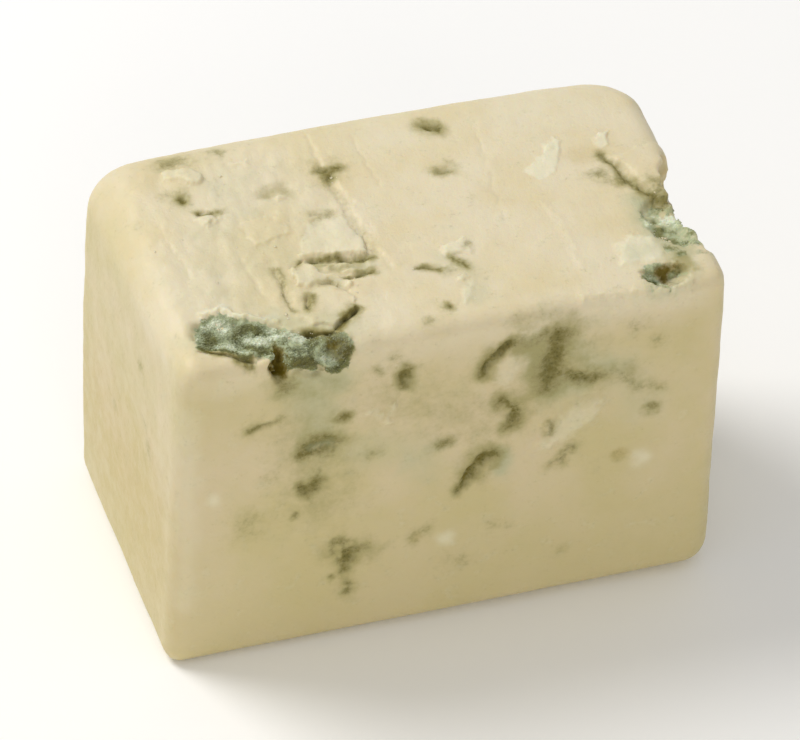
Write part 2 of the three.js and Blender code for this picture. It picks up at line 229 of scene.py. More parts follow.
# Strokes, long cracks and ridges: face, height, half-width and the points they run through.
STROKES = [
    # the knife's drag line and fainter ones beside it
    ("top", -0.05, 0.2, [(-4.4, 10.5), (-4.4, 7.9), (-4.1, 6.0)]),
    ("top", -0.1, 0.35, [(-4.1, 6.0), (-3.9, 4.4), (-3.8, 1.5), (-3.6, -1.0), (-3.4, -2.9)]),
    ("top", 0.04, 0.6, [(-3.4, 7.5), (-3.1, 2.4), (-2.6, -3.6)]),
    ("top", 0.04, 0.3, [(10.1, -0.6), (10.3, -4.4), (10.5, -8.0)]),
    ("top", -0.04, 0.24, [(7.6, 8.8), (7.0, 3.2), (6.6, -1.4)]),
    ("top", -0.05, 0.16, [(-12.6, -1.0), (-12.2, -4.9)]),
    ("top", -0.05, 0.2, [(-17.4, 4.0), (-16.6, -1.8)]),
    ("top", -0.05, 0.18, [(-1.4, 9.6), (-0.9, 4.2)]),
    # cracks round the flakes
    ("top", -0.12, 0.12, [(-6.5, 2.3), (-5.6, 2.3), (-4.6, 2.1)]),
    ("top", -0.2, 0.12, [(-9.1, -2.7), (-8.4, -2.0), (-7.8, -2.1), (-6.9, -2.3), (-5.8, -2.4),
        (-5.2, -2.8)]),
    ("top", -0.2, 0.16, [(-5.0, -2.8), (-4.6, -2.7), (-4.0, -2.8)]),
    ("top", -0.2, 0.12, [(-6.1, -4.5), (-5.3, -4.5), (-4.6, -4.2), (-4.2, -4.4)]),
    ("top", -0.18, 0.1, [(-7.9, -4.7), (-7.0, -4.9), (-6.7, -5.3), (-6.3, -5.8)]),
    ("top", -0.14, 0.1, [(-10.7, -2.5), (-10.5, -3.9), (-10.7, -5.4), (-10.7, -6.8)]),
    ("top", -0.25, 0.14, [(-6.2, -7.7), (-6.9, -8.3), (-7.6, -8.6), (-8.3, -9.4)]),
    ("top", -0.25, 0.14, [(-10.2, -9.3), (-9.2, -9.7), (-8.5, -9.7)]),
    ("top", -0.2, 0.14, [(-9.2, -5.7), (-9.5, -7.0)]),
    ("top", -0.16, 0.12, [(-14.2, 4.4), (-13.7, 4.5), (-13.0, 3.8)]),
    ("top", -0.16, 0.3, [(-15.4, 10.1), (-13.5, 9.9)]),
    # the rims of the long mould hollow
    ("top", 0.3, 0.3, [(-16.8, -5.6), (-15.3, -5.4), (-14.5, -6.8), (-12.9, -7.2), (-12.2, -7.5)]),
    ("top", -0.3, 0.1, [(-18.3, -9.2), (-17.4, -9.7), (-16.4, -10.1), (-15.5, -10.6), (-14.7, -10.8)]),
    ("top", 0.16, 0.3, [(-14.9, -11.1), (-13.8, -11.0)]),
    # the right end's crack, and the lip in front of its hole
    ("top", -0.14, 0.28, [(15.4, 3.2), (16.0, 1.9), (16.2, 0.1), (17.0, -1.0), (17.8, -1.9), (18.3, -2.7)]),
    ("top", 0.16, 0.32, [(9.6, -10.5), (13.0, -10.9), (15.6, -11.2), (17.2, -11.0)]),
    # cracks of the front
    ("front", -0.1, 0.3, [(2.3, 23.3), (2.4, 24.1), (2.8, 24.8), (3.6, 25.3), (4.2, 25.7)]),
    ("front", -0.12, 0.3, [(3.1, 15.5), (2.6, 15.3), (2.0, 14.7), (1.7, 13.8), (0.9, 12.4)]),
    ("front", -0.12, 0.15, [(7.6, 13.3), (8.4, 13.6), (9.3, 14.6)]),
    ("front", -0.1, 0.15, [(7.5, 17.7), (7.3, 16.4)]),
]

# Where mould covers the paste: face, how densely, how wide its ragged rim is, and the outline.
MOULDS = [
    ("top", 1.0, 0.25, [
        (-18.4, -8.6), (-18.0, -6.9), (-17.3, -6.2), (-16.5, -5.7), (-15.6, -5.7), (-15.1, -6.6),
        (-14.4, -7.3),
        (-13.1, -7.5), (-12.3, -8.0), (-11.4, -8.6), (-10.4, -9.7), (-9.2, -10.1), (-7.8, -10.3),
        (-7.7, -12.5),
        (-13.1, -12.5), (-13.4, -10.8), (-14.7, -10.6), (-15.5, -10.4), (-16.4, -9.9), (-17.5, -9.5)]),
    ("front", 1.0, 0.25, [
        (-11.9, 29.5), (-7.5, 29.5), (-7.6, 27.1), (-7.8, 26.0), (-8.7, 26.0), (-9.8, 26.3), (-11.0, 26.5),
        (-11.8, 27.0)]),
    ("top", 0.75, 0.7, [
        (17.9, -2.2), (16.8, -3.0), (15.6, -4.6), (16.7, -5.2), (16.8, -6.4), (17.6, -8.4), (19.0, -7.4),
        (20.4, -5.0), (19.2, -2.8)]),
    ("top", 0.8, 0.3, [
        (14.0, -9.1), (14.7, -8.9), (15.6, -8.7), (16.8, -8.8), (17.4, -9.2), (17.8, -10.0), (16.8, -10.6),
        (15.6, -10.8), (14.5, -10.6), (14.0, -10.1)]),
    ("right", 0.5, 0.8, [(-8.6, 29.6), (-8.2, 27.0), (-6.0, 25.0), (-3.0, 24.8), (-0.8, 26.4),
        (0.2, 29.6)]),
]

# Marks in the paste, by face and kind: strength, half-width, and the points they run through. A vein
# lies below the surface, a stain is the olive blur round it and a halo the faint teal one, but some vein
# marks along cracks and flake edges are painted shadows. Blue is mould on the paste and brown is rot. A
# bloom is pale growth and a shade is dark growth, but one shade mark is a painted shadow. Milk is damp and
# pale, and on some edges and lips it is a painted highlight. The tan tint makes specks, dents and the
# whole left end tan.
MARKS = {
    "top": {
        "vein_and_shadow": [
            # painted shadow in the crack under the long mould hollow's lower left rim
            (0.9, 0.16, (-18.3, -9.2), (-17.4, -9.7), (-16.4, -10.1), (-15.5, -10.6), (-14.7, -10.8)),
            # painted shadows along the crevices under and between the flakes: the marks on this and the next
            # three lines
            (0.7, 0.16, (-9.2, -2.8), (-8.6, -2.1)),
            (0.75, 0.17, (-7.7, -2.1), (-6.9, -2.3), (-5.8, -2.4), (-5.2, -2.8)),
            (0.9, 0.22, (-4.7, -2.8), (-4.0, -2.8)), (0.6, 0.17, (-6.1, -4.6), (-5.2, -4.5)),
            (0.9, 0.24, (-4.8, -4.3), (-4.2, -4.3)),
            (1.0, 0.22, (-6.2, -7.7), (-6.9, -8.3), (-7.6, -8.6), (-8.3, -9.4)),
            (1.0, 0.26, (-10.1, -9.4), (-9.2, -9.7), (-8.6, -9.7)),
            (0.75, 0.22, (-9.2, -5.8), (-9.5, -6.9)), (0.45, 0.2, (-7.9, -4.8), (-7.0, -4.9), (-6.7, -5.3)),
            # painted shadow behind the first flake's back edge
            (0.4, 0.3, (-6.4, 2.2), (-4.8, 2.1)),
            (0.5, 0.2, (-10.7, -2.5), (-10.5, -3.9), (-10.7, -5.4), (-10.7, -6.8)),
            (0.95, 0.3, (-15.0, 6.2), (-14.8, 5.9)), (0.4, 0.35, (-15.8, 6.8), (-14.8, 6.6)),
            # painted shadows above a crumb and above the top-left flake
            (0.6, 0.2, (-14.3, 4.5), (-13.7, 4.5), (-13.0, 3.9)), (0.45, 0.5, (-15.2, 10.1), (-13.7, 10.0)),
            (0.4, 0.35, (-11.6, 10.4), (-11.2, 10.2)), (0.8, 0.35, (-4.8, 7.0), (-3.9, 6.6), (-3.2, 6.7)),
            (0.8, 0.35, (-4.3, 6.4), (-4.2, 5.6)), (0.9, 0.4, (4.0, 9.5), (4.8, 8.8)),
            (0.65, 0.35, (3.6, 4.5), (4.4, 4.5)), (0.85, 0.22, (-0.8, -4.8), (-0.1, -4.9), (0.3, -5.2)),
            (0.3, 0.3, (0.5, -5.3), (1.3, -5.7)), (0.8, 0.25, (1.9, -4.6), (2.1, -5.1), (2.4, -5.6)),
            (0.4, 0.18, (3.1, -3.5), (3.3, -3.3)), (0.9, 0.26, (0.2, -9.2)), (0.4, 0.3, (-1.8, -10.2)),
            (0.25, 0.5, (-0.6, -9.6)), (0.4, 0.45, (14.1, 1.4), (15.0, 0.8)),
            # the right end's crack, dark and with its painted shadow, on this and the next line
            (0.75, 0.3, (15.4, 3.2), (16.0, 1.9), (16.2, 0.1)),
            (0.9, 0.4, (16.2, 0.1), (17.0, -1.0), (17.8, -1.9), (18.3, -2.7)),
            (0.6, 0.6, (18.0, -1.2), (18.9, -0.8)),
        ],
        "stain": [
            (0.45, 0.5, (-7.6, -2.8), (-6.2, -3.6), (-4.6, -3.4)),
            (0.25, 0.45, (-4.0, 4.6), (-3.7, 0.6), (-3.4, -2.4)), (0.45, 0.8, (-9.0, 5.3), (-7.6, 5.4)),
            (0.7, 0.9, (17.2, -1.4), (18.8, -1.4)), (0.35, 0.9, (16.8, -4.6), (18.0, -5.4), (17.8, -8.2)),
            (0.7, 0.8, (17.4, -8.6), (17.6, -9.8)),
        ],
        "halo": [
            (0.6, 2.2, (-17.0, -7.6), (-12.0, -8.0), (-8.0, -9.8)),
            (0.7, 0.7, (-7.9, -2.6), (-6.4, -3.3), (-4.4, -3.5)), (0.5, 0.9, (-12.3, -6.6), (-11.2, -7.6)),
            (0.3, 1.0, (-9.2, 5.3), (-7.5, 5.4)), (0.5, 1.2, (1.0, -4.4), (2.4, -5.6), (2.0, -8.8)),
            (1.0, 1.4, (16.6, -2.4), (16.6, -5.0), (17.4, -8.0)),
            (0.6, 0.9, (17.6, -8.6), (17.4, -10.4), (14.6, -10.9)), (0.5, 1.0, (14.2, -7.4), (15.6, -7.0)),
            (0.35, 7.0, (-13.0, -3.0), (-12.0, 5.0)),
        ],
        "brown": [
            (0.4, 0.3, (-18.2, -9.1), (-17.8, -9.3)), (0.6, 0.25, (-14.9, 6.0)),
            (1.0, 0.8, (15.9, -9.5), (16.6, -9.4), (16.3, -10.0)),
        ],
        "bloom": [
            (1.0, 0.6, (-14.2, -8.8), (-12.6, -9.0)), (0.9, 0.45, (-12.2, -9.0), (-10.9, -9.9)),
            (1.0, 0.55, (-16.6, -6.6), (-15.6, -7.4)), (0.9, 0.5, (-16.8, -9.1), (-15.4, -9.9)),
            (0.8, 0.35, (-17.9, -7.9), (-17.1, -6.5)),
            (0.7, 0.3, (-14.6, -7.4), (-13.0, -7.8), (-12.2, -8.2)), (0.6, 0.6, (16.9, -3.1), (17.2, -3.4)),
            (0.6, 0.5, (15.7, -4.7), (16.4, -4.7)), (0.7, 0.5, (17.7, -4.0), (18.6, -4.3)),
            (0.9, 0.4, (14.7, -9.5), (15.3, -10.2), (16.2, -10.7)),
        ],
        "shade": [
            (1.0, 0.5, (-17.4, -7.7), (-17.3, -8.4)), (1.0, 0.4, (-14.9, -9.7), (-13.8, -10.2)),
            (0.6, 0.35, (-15.2, -7.7), (-13.2, -7.9)),
            # painted shadow in the crack under the long mould hollow's lower left rim
            (0.9, 0.3, (-18.3, -9.0), (-17.4, -9.4), (-16.4, -9.8), (-15.5, -10.4), (-14.7, -10.6)),
            (0.3, 0.4, (17.2, -3.9), (17.0, -4.5)), (0.4, 0.6, (17.2, -5.4), (17.6, -7.4)),
            (0.9, 0.35, (14.3, -9.8), (14.6, -10.3), (15.2, -10.7)), (0.6, 0.4, (17.2, -9.3), (17.6, -9.7)),
        ],
        "milk_and_highlight": [
            (0.6, 0.3, (-2.6, -4.2)),
            # the upper lip of the long mould hollow: pale curd with a painted highlight
            (0.9, 0.45, (-17.0, -5.6), (-15.4, -5.3), (-14.4, -6.8), (-12.2, -7.3)),
            # the second mark here: the lip at the top's front edge, pale curd with a painted highlight
            (0.35, 1.3, (6.0, 4.0), (8.0, 6.4)), (0.5, 0.5, (9.8, -10.9), (14.0, -11.2), (17.0, -11.2)),
            (0.4, 3.5, (-6.0, 9.0), (16.0, 9.0)),
        ],
        "tan_tint": [
            (0.6, 1.2, (13.4, 3.6), (14.8, 3.4)), (0.4, 1.6, (6.3, 1.2), (7.6, 0.4)),
        ],
    },
    "front": {
        "vein_and_shadow": [
            (0.75, 0.6, (-12.7, 26.2), (-12.3, 25.2)), (0.95, 0.42, (-3.7, 24.7), (-3.4, 23.5)),
            (0.6, 0.28, (-5.6, 25.3)), (0.35, 0.4, (-4.4, 26.2)), (0.65, 0.3, (-14.9, 21.7), (-13.8, 22.0)),
            (0.45, 0.25, (-13.8, 22.0), (-13.2, 22.2), (-12.2, 22.3)),
            (0.95, 0.3, (-8.1, 21.4), (-7.9, 21.5)), (1.0, 0.45, (-11.0, 18.7), (-10.3, 18.7)),
            (0.85, 0.6, (-10.5, 19.3), (-9.8, 19.6), (-8.5, 19.1)), (0.7, 0.5, (-9.9, 18.5), (-8.7, 18.5)),
            (0.35, 0.22, (-9.4, 17.8), (-9.6, 16.4)), (1.0, 0.38, (-10.9, 15.5), (-10.5, 14.9)),
            (0.85, 0.45, (-10.4, 14.9), (-10.0, 15.2), (-9.7, 15.8)), (0.75, 0.24, (-11.3, 12.9)),
            (0.35, 0.8, (-14.4, 12.7)), (0.25, 0.6, (-13.2, 17.3)),
            (0.6, 0.26, (-7.2, 8.9), (-7.4, 9.5), (-7.9, 9.9), (-8.4, 9.7), (-8.4, 9.0)),
            (0.35, 0.24, (-8.4, 9.0), (-8.1, 8.3), (-7.7, 7.8)),
            (1.0, 0.42, (-7.1, 8.7), (-6.9, 8.2), (-7.1, 7.8)), (0.6, 0.45, (-6.8, 8.4), (-6.0, 8.6)),
            (0.85, 0.36, (-7.8, 7.7), (-7.4, 7.4), (-7.5, 6.9)), (0.65, 0.32, (-7.1, 5.3), (-7.1, 4.3)),
            (0.8, 0.2, (-8.3, 6.3)), (1.0, 0.42, (2.3, 23.3), (2.4, 24.1), (2.8, 24.8)),
            (0.95, 0.36, (2.8, 24.8), (3.6, 25.3), (4.2, 25.7)),
            (0.5, 0.4, (4.4, 25.6), (5.6, 25.5), (6.6, 25.7)), (1.0, 0.8, (7.6, 25.6), (7.5, 24.1)),
            (1.0, 0.85, (7.4, 23.6), (7.2, 22.6), (7.0, 21.4)), (0.6, 0.5, (6.5, 25.7), (8.3, 25.5)),
            (0.75, 0.6, (7.9, 22.1), (9.3, 21.2), (10.6, 21.2)),
            (0.5, 0.4, (10.9, 21.2), (12.1, 21.3), (13.0, 20.2)),
            (0.4, 0.35, (13.4, 19.6), (14.5, 19.3), (15.7, 19.0)), (0.75, 0.3, (14.9, 17.0), (15.2, 17.0)),
            (0.3, 0.5, (13.4, 25.3)), (0.25, 0.6, (15.4, 23.4)), (0.95, 0.42, (3.5, 20.4), (4.2, 20.1)),
            (0.9, 0.55, (4.3, 19.8), (4.9, 19.3), (4.4, 18.2)),
            (1.0, 0.55, (3.1, 15.5), (2.6, 15.3), (2.0, 14.7), (1.8, 14.0)),
            (0.9, 0.32, (1.6, 13.6), (0.9, 12.4)), (0.6, 0.45, (-0.7, 17.2), (-0.1, 17.4)),
            # painted shadows by the front's light lump: the second mark on this line and the first on the
            # next
            (0.4, 0.4, (-5.6, 17.5)), (0.45, 0.22, (7.5, 17.7), (7.3, 16.4)),
            (0.5, 0.3, (7.6, 13.3), (8.4, 13.6), (9.3, 14.6)), (0.25, 0.3, (10.7, 12.3)),
            (0.4, 0.3, (12.7, 13.1), (13.0, 13.4)), (0.45, 0.35, (-2.2, 8.8), (-1.4, 9.3)),
            (0.3, 0.35, (3.4, 8.4), (4.5, 8.2)), (0.25, 0.45, (0.3, 5.6), (1.4, 5.6)),
            (0.35, 0.3, (8.9, 4.9)),
        ],
        "stain": [
            (1.0, 0.8, (-8.9, 28.2), (-8.1, 27.4)), (0.8, 0.6, (-11.6, 27.2), (-10.6, 27.0)),
            (0.35, 1.8, (-11.4, 24.6), (-8.8, 24.6)), (0.4, 3.0, (-10.6, 21.0), (-9.4, 14.0)),
            (0.3, 3.0, (-4.4, 22.6), (3.0, 18.6), (9.0, 24.0)), (0.7, 0.5, (-9.7, 14.9), (-9.5, 15.8)),
            (0.5, 0.9, (-9.8, 14.7)), (0.6, 1.2, (-8.2, 8.8), (-6.0, 8.3)),
            (0.4, 0.7, (-6.0, 8.6), (-4.4, 8.2)), (0.45, 0.8, (-7.2, 6.5), (-7.0, 4.2)),
            (0.9, 0.9, (4.8, 25.1), (6.0, 25.2), (6.2, 22.9), (6.7, 21.1)),
            (0.5, 1.2, (8.6, 24.6), (9.6, 21.8)), (0.5, 1.2, (9.6, 21.4), (13.0, 20.8)),
            (0.6, 0.9, (4.8, 19.2), (6.0, 20.6)), (0.8, 0.6, (3.4, 15.6), (3.5, 14.3)),
            (0.4, 1.2, (-9.6, 18.8), (-10.2, 15.4)), (0.35, 1.1, (4.7, 27.0), (7.4, 27.0), (9.7, 25.9)),
        ],
        "halo": [
            (1.0, 1.6, (-11.6, 25.4), (-8.6, 25.0)), (0.8, 2.0, (-10.4, 24.4), (-9.6, 19.8)),
            (0.5, 2.2, (-9.6, 18.8), (-3.0, 17.0), (-1.6, 15.2)), (0.5, 0.7, (-3.0, 23.6)),
            (0.5, 1.1, (-9.4, 18.6), (-9.9, 16.6)),
            (0.9, 1.4, (5.9, 25.0), (6.6, 22.6), (7.6, 20.6), (9.4, 20.6)),
            (0.7, 1.2, (8.8, 24.6), (9.8, 22.6), (12.6, 21.4)),
            (0.35, 1.1, (4.8, 27.2), (6.6, 27.6), (9.0, 27.0), (10.4, 26.2)),
            (0.5, 2.2, (12.6, 21.0), (14.2, 18.0)), (0.9, 0.7, (3.9, 15.6), (4.1, 13.6)),
            (0.6, 1.1, (-3.4, 15.8), (-1.0, 17.0)),
        ],
        "blue": [
            (0.5, 0.35, (-3.5, 24.0), (-3.4, 23.6)), (0.6, 0.7, (-10.2, 19.2), (-8.6, 18.9)),
        ],
        "brown": [
            (1.0, 0.62, (-12.8, 28.6), (-12.7, 26.6)), (0.4, 0.4, (-11.7, 27.0), (-11.0, 27.1)),
            (0.65, 0.4, (-9.2, 28.2), (-8.1, 28.0)), (0.5, 0.4, (4.5, 19.4), (4.6, 18.7)),
            (0.55, 0.3, (2.4, 15.2), (1.8, 14.2), (1.4, 13.2)),
        ],
        "bloom": [
            (0.8, 0.5, (-9.6, 27.0), (-8.6, 27.2)),
        ],
        "shade": [
            (0.9, 0.4, (-11.7, 27.1), (-10.8, 27.3)),
            (0.8, 0.35, (-11.0, 26.7), (-9.8, 26.5), (-8.7, 26.2)), (0.9, 0.35, (-8.0, 26.4), (-7.8, 27.3)),
        ],
        "milk_and_highlight": [
            (0.7, 0.8, (-17.3, 15.6)), (0.8, 1.1, (14.6, 12.3)), (0.8, 0.9, (0.0, 8.0)),
            (0.5, 0.4, (-6.1, 21.6), (-5.4, 21.0)), (0.5, 0.4, (-4.8, 20.4), (-4.3, 21.2)),
            # the second mark here: a painted highlight along the front's left upright edge
            (0.35, 1.2, (-12.9, 26.2), (-17.0, 26.0)), (0.5, 1.3, (-19.5, 24.0), (-19.2, 6.0)),
        ],
        "tan_tint": [
            (1.0, 0.5, (12.7, 13.1), (13.0, 13.4)), (0.6, 0.5, (-2.2, 8.6), (-1.8, 8.9)),
        ],
    },
    "left": {
        "vein_and_shadow": [
            (0.45, 0.3, (2.3, 13.4)), (0.4, 0.3, (-2.7, 21.3)), (0.35, 0.4, (-4.9, 15.6)),
            (0.35, 0.3, (-4.2, 17.3)),
        ],
        "tan_tint": [
            # a tan tint over the whole left end, which also makes it darker
            (0.8, 9.0, (-4.0, 10.0), (4.0, 10.0)),
        ],
    },
    "right": {
        "vein_and_shadow": [
            (0.85, 0.5, (-4.6, 20.4), (-3.2, 19.2)), (0.75, 0.45, (4.4, 16.0), (5.6, 17.6), (6.8, 17.4)),
            (0.5, 0.35, (-6.6, 10.4), (-5.8, 9.2)), (0.6, 0.35, (1.2, 8.4), (2.4, 7.6)),
        ],
        "stain": [
            (0.6, 1.8, (-6.8, 26.6), (-1.6, 26.0)), (0.6, 1.3, (-3.8, 21.0), (0.4, 23.4)),
        ],
        "halo": [
            (0.9, 1.6, (-7.4, 26.0), (-1.6, 25.4)), (0.7, 1.6, (-4.0, 18.6), (-1.6, 16.4)),
        ],
    },
    "back": {
        "vein_and_shadow": [
            (0.95, 0.6, (-9.5, 21.0), (-8.3, 19.8), (-8.6, 18.2)),
            (0.85, 0.5, (-2.0, 14.6), (-0.6, 15.8), (0.8, 15.4)),
            (0.95, 0.6, (8.6, 20.5), (9.8, 21.8), (11.6, 21.4)), (0.7, 0.45, (11.8, 10.8), (12.4, 9.0)),
            (0.6, 0.35, (-14.2, 9.4), (-12.8, 10.2)), (0.5, 0.3, (3.4, 7.0), (4.6, 6.4)),
            (0.7, 0.35, (-5.6, 24.0), (-4.0, 24.8)),
        ],
        "stain": [
            (0.7, 1.3, (-9.0, 20.4), (-6.0, 20.8), (-4.4, 23.6)), (0.6, 1.1, (0.6, 15.0), (3.6, 17.4)),
            (0.7, 1.1, (9.6, 21.0), (12.8, 19.0)),
        ],
        "halo": [
            (0.8, 1.8, (-8.0, 18.8), (-5.0, 16.0)), (0.7, 1.6, (10.0, 19.8), (8.0, 16.4)),
        ],
        "blue": [
            (0.6, 0.5, (-8.6, 19.4), (-8.5, 18.6)),
        ],
    },
}
# How quickly a mark fades above and below its face.
MARK_REACH = 1.8

RANDOM = np.random.default_rng(20)
SLOPES = RANDOM.normal(size=(256, 3))
SLOPES /= np.linalg.norm(SLOPES, axis=1, keepdims=True)
SHUFFLE = RANDOM.permutation(256)


def ease(low, high, value):
    """0 below low and 1 above high, with a smooth S between: t * t * (3 - 2 * t)."""
    t = np.clip((value - low) / (high - low), 0, 1)
    return t * t * (3 - 2 * t)


def noise(places, wave, seed=0):
    """Gradient noise from about -1 to 1. Each corner of a lattice of cubes, wave wide, has a slope
    of its own; a place mixes its cube's eight slopes, each times the way from its corner, by quintic
    weights of how near the corners are."""
    scaled = places / wave
    cell = np.floor(scaled).astype(int)
    part = scaled - cell
    near = part**3 * (part * (part * 6 - 15) + 10)
    total = np.zeros(len(places))
    for corner in product((0, 1), repeat=3):
        number = SHUFFLE[(cell[:, 0] + corner[0] + seed) & 255]
        number = SHUFFLE[(number + cell[:, 1] + corner[1]) & 255]
        number = SHUFFLE[(number + cell[:, 2] + corner[2]) & 255]
        weight = np.prod(np.where(np.array(corner) == 1, near, 1 - near), axis=1)
        total += weight * ((part - corner) * SLOPES[number]).sum(1)
    return 1.6 * total


def rough(places, wave, octaves, seed=0):
    """Noise summed over octaves, each half as wide and half as strong as the one before."""
    return sum(noise(places, wave / 2**n, seed + 31 * n) / 2**n for n in range(octaves))


def creased(places, wave, octaves, seed=0):
    """Rough ground with sharp valleys, from -1 to about 1: the noise's distance from 0 in each octave."""
    return sum((2 * np.abs(noise(places, wave / 2**n, seed + 17 * n)) - 0.5) / 2**n for n in range(octaves))


def from_corners(values, spot):
    """Mixes eight values held at the block's corners, for a place from -1 to 1 along each axis."""
    share = (spot + 1) / 2
    total = 0
    for corner in product((0, 1), repeat=3):
        held = np.asarray(values, float)[corner]
        weight = np.prod(np.where(np.array(corner) == 1, share, 1 - share), axis=1)
        total = total + (weight[:, None] * held if held.ndim else weight * held)
    return total


def lattice(cells):
    """The points on the outside of a box of so many cells, each once, from 0 to the cell counts, and
    the quads between them, turned outwards, with the number of the side that each lies on."""
    index = np.indices([n + 1 for n in cells])
    outside = np.any([(i == 0) | (i == n) for i, n in zip(index, cells)], axis=0)
    number = np.cumsum(outside.ravel()).reshape(outside.shape) - 1
    quads, sides = [], []
    for axis, end in product(range(3), (0, -1)):
        side = number.take(end, axis)
        quad = np.stack([side[:-1, :-1], side[1:, :-1], side[1:, 1:], side[:-1, 1:]], -1).reshape(-1, 4)
        inward = (end == 0) != (axis == 1)
        quads.append(quad[:, ::-1] if inward else quad)
        sides.append(np.full(len(quad), 2 * axis + (end == -1)))
    return np.argwhere(outside), np.concatenate(quads), np.concatenate(sides)


def swell(places, wave):
    """A slow, even swell from -1 to 1: three crossed sine waves that never line up."""
    x, y, z = places.T
    a = np.sin(x / wave + 1.3 * np.sin(z / wave + 0.4))
    b = np.sin(1.31 * y / wave + 1.1 * np.sin(x / wave - 1.7))
    c = np.sin(0.87 * z / wave + 1.2 * np.sin(1.2 * y / wave + 2.1))
    return (a + b + c) / 3


def block_surface(spot):
    """The softened block. Seen from above, a place from -1 to 1 on a box is clamped to a core that is
    smaller by the upright rounding, and its reach from there is clamped to that less the edge rounding.
    It lies the edge rounding outside what is left. Then the faces sway, the corners shift and the back
    bows."""
    rounding = from_corners(CORNER_ROUNDING, spot)[:, None]
    upright = np.maximum(rounding, from_corners(UPRIGHT_ROUNDING, spot)[:, None])
    flat = spot * HALF
    core = np.clip(flat, upright - HALF, HALF - upright)
    aside = (flat - core) * (1, 1, 0)
    reach = np.abs(aside).max(1, keepdims=True)
    aside /= np.linalg.norm(aside, axis=1, keepdims=True).clip(1e-9)
    kept = np.minimum(reach, upright - rounding)
    core += kept * aside
    core[:, 2:] = np.clip(flat[:, 2:], rounding - HALF[2], HALF[2] - rounding)
    outward = (reach - kept) * aside + (flat - core) * (0, 0, 1)
    outward /= np.linalg.norm(outward, axis=1, keepdims=True)
    place = core + rounding * outward
    place[:, 2] += HEIGHT / 2
    lift = ease(0, BASE_FADE, place[:, 2])
    place = place + (SWAY * lift * swell(place, SWAY_WAVE))[:, None] * outward
    shift = from_corners(CORNER_SHIFT, spot)
    shift[:, 2] *= lift
    x, y, z = spot.T
    along, upward = 1 - x * x, (1 + z) / 2
    bow = np.stack([-(1 - z * z) * (1 - x) / 2, along * upward, along * upward], -1)
    return place + shift + (BOW * (1 + y) / 2)[:, None] * bow


def face_axes(face):
    """A face's normal, its two directions and the point its places are counted from, as arrays."""
    return [np.array(part, float) for part in FACES[face]]


def face_points(face, across):
    """Points of a face, raised to where the block's surface lies there."""
    normal, along, upward, start = face_axes(face)
    across = np.asarray(across, float)
    flat = start + across[:, :1] * along + across[:, 1:2] * upward
    spot = np.clip((flat - (0, 0, HEIGHT / 2)) / HALF, -LEVEL_REACH, LEVEL_REACH)
    spot = np.where(normal, normal, spot)
    return flat + ((block_surface(spot) - flat) @ normal)[:, None] * normal


def on_face(places, face):
    """Where places lie on a face: along it, across it and above it."""
    normal, along, across, start = face_axes(face)
    return np.stack([(places - start) @ axis for axis in (along, across, normal)], -1)


def from_line(spot, points):
    """How far spots on a face are from the line through some points."""
    near = np.full(len(spot), np.inf)
    for start, end in zip(points, points[1:] or points):
        start, way = np.array(start), np.array(end) - np.array(start)
        share = ((spot - start) @ way / max(way @ way, 1e-9)).clip(0, 1)
        near = np.minimum(near, np.linalg.norm(spot - start - share[:, None] * way, axis=1))
    return near


def inside_outline(spot, outline):
    """How far spots on a face are inside an outline, and below 0 how far outside it. A spot is inside
    when a ray from it crosses the outline an odd number of times."""
    x, y = spot.T
    inside = np.zeros(len(spot), bool)
    for (x0, y0), (x1, y1) in zip(outline, outline[1:] + outline[:1]):
        if y0 != y1:
            inside ^= ((y < y0) != (y < y1)) & (x < x0 + (y - y0) * (x1 - x0) / (y1 - y0))
    return np.where(inside, 1, -1) * from_line(spot, outline + outline[:1])


class Lump:
    """A ragged, flattened ball laid on a face. With u, v and w the place in it along its length, width
    and height, as shares of its size, a place is inside where u*u + v*v + |w|^(2/squareness) is under
    the square of 1 plus the raggedness there."""

    def __init__(self, row, seed):
        face, along_at, across_at, turn, length, width, height = row[:7]
        normal, along, across, _ = face_axes(face)
        self.middle = face_points(face, [(along_at, across_at)])[0] + HOLLOW_FLARE * height * normal
        turned = Matrix.Rotation(math.radians(turn), 3, "Z")
        self.axes = np.stack([along, across, np.cross(along, across)], 1) @ np.array(turned)
        self.size = np.array([length / 2, width / 2, height])
        self.wave = LUMP_WAVE_SHARE * math.sqrt(self.size[0] * self.size[1]) + LUMP_WAVE_LEAST
        self.seed = seed

    def measure(self, places):
        """Below 0 inside the lump, and above 0 outside it."""
        u, v, w = ((places - self.middle) @ self.axes / self.size).T
        reach = 1 + HOLLOW_RAGGED * rough(places, self.wave, 3, self.seed)
        return np.sqrt(u * u + v * v + np.abs(w) ** (2 / SQUARENESS)) - reach


def grain_maps():
    """For each face, the longest triangle side that is wanted at the spots of a grid on it: short in
    hollows, at steps, strokes and marks and under mould, and GRAIN_SLOPE longer per mm away from them."""
    spots = MAP_START + MAP_STEP * np.indices(MAP_CELLS).reshape(2, -1).T
    details = [(face, from_line(spots, points) - width, STROKE_GRAIN)
               for face, _, width, points in STROKES]
    for face, kinds in MARKS.items():
        for _, width, *points in chain.from_iterable(kinds.values()):
            details.append((face, from_line(spots, points) - width, MARK_GRAIN))
    for face, x, y, turn, length, width, *_ in HOLLOWS:
        turn, middle = math.radians(turn), np.array([x, y])
        reach = (length - width) / 2 * np.array([math.cos(turn), math.sin(turn)])
        apart = from_line(spots, [middle - reach, middle + reach]) - width / 2
        details.append((face, apart, HOLLOW_GRAIN))
    for face, *_, rim, _, outline in STEPS:
        details.append((face, from_line(spots, outline + outline[:1]) - rim, STEP_GRAIN))
    for face, *_, outline in MOULDS:
        details.append((face, -inside_outline(spots, outline), MOULD_GRAIN))
    maps = {face: np.full(len(spots), BASE_GRAIN) for face in FACES}
    for face, apart, fine in details:
        maps[face] = np.minimum(maps[face], fine + GRAIN_SLOPE * apart.clip(0))
    return {face: grain.reshape(MAP_CELLS) for face, grain in maps.items()}


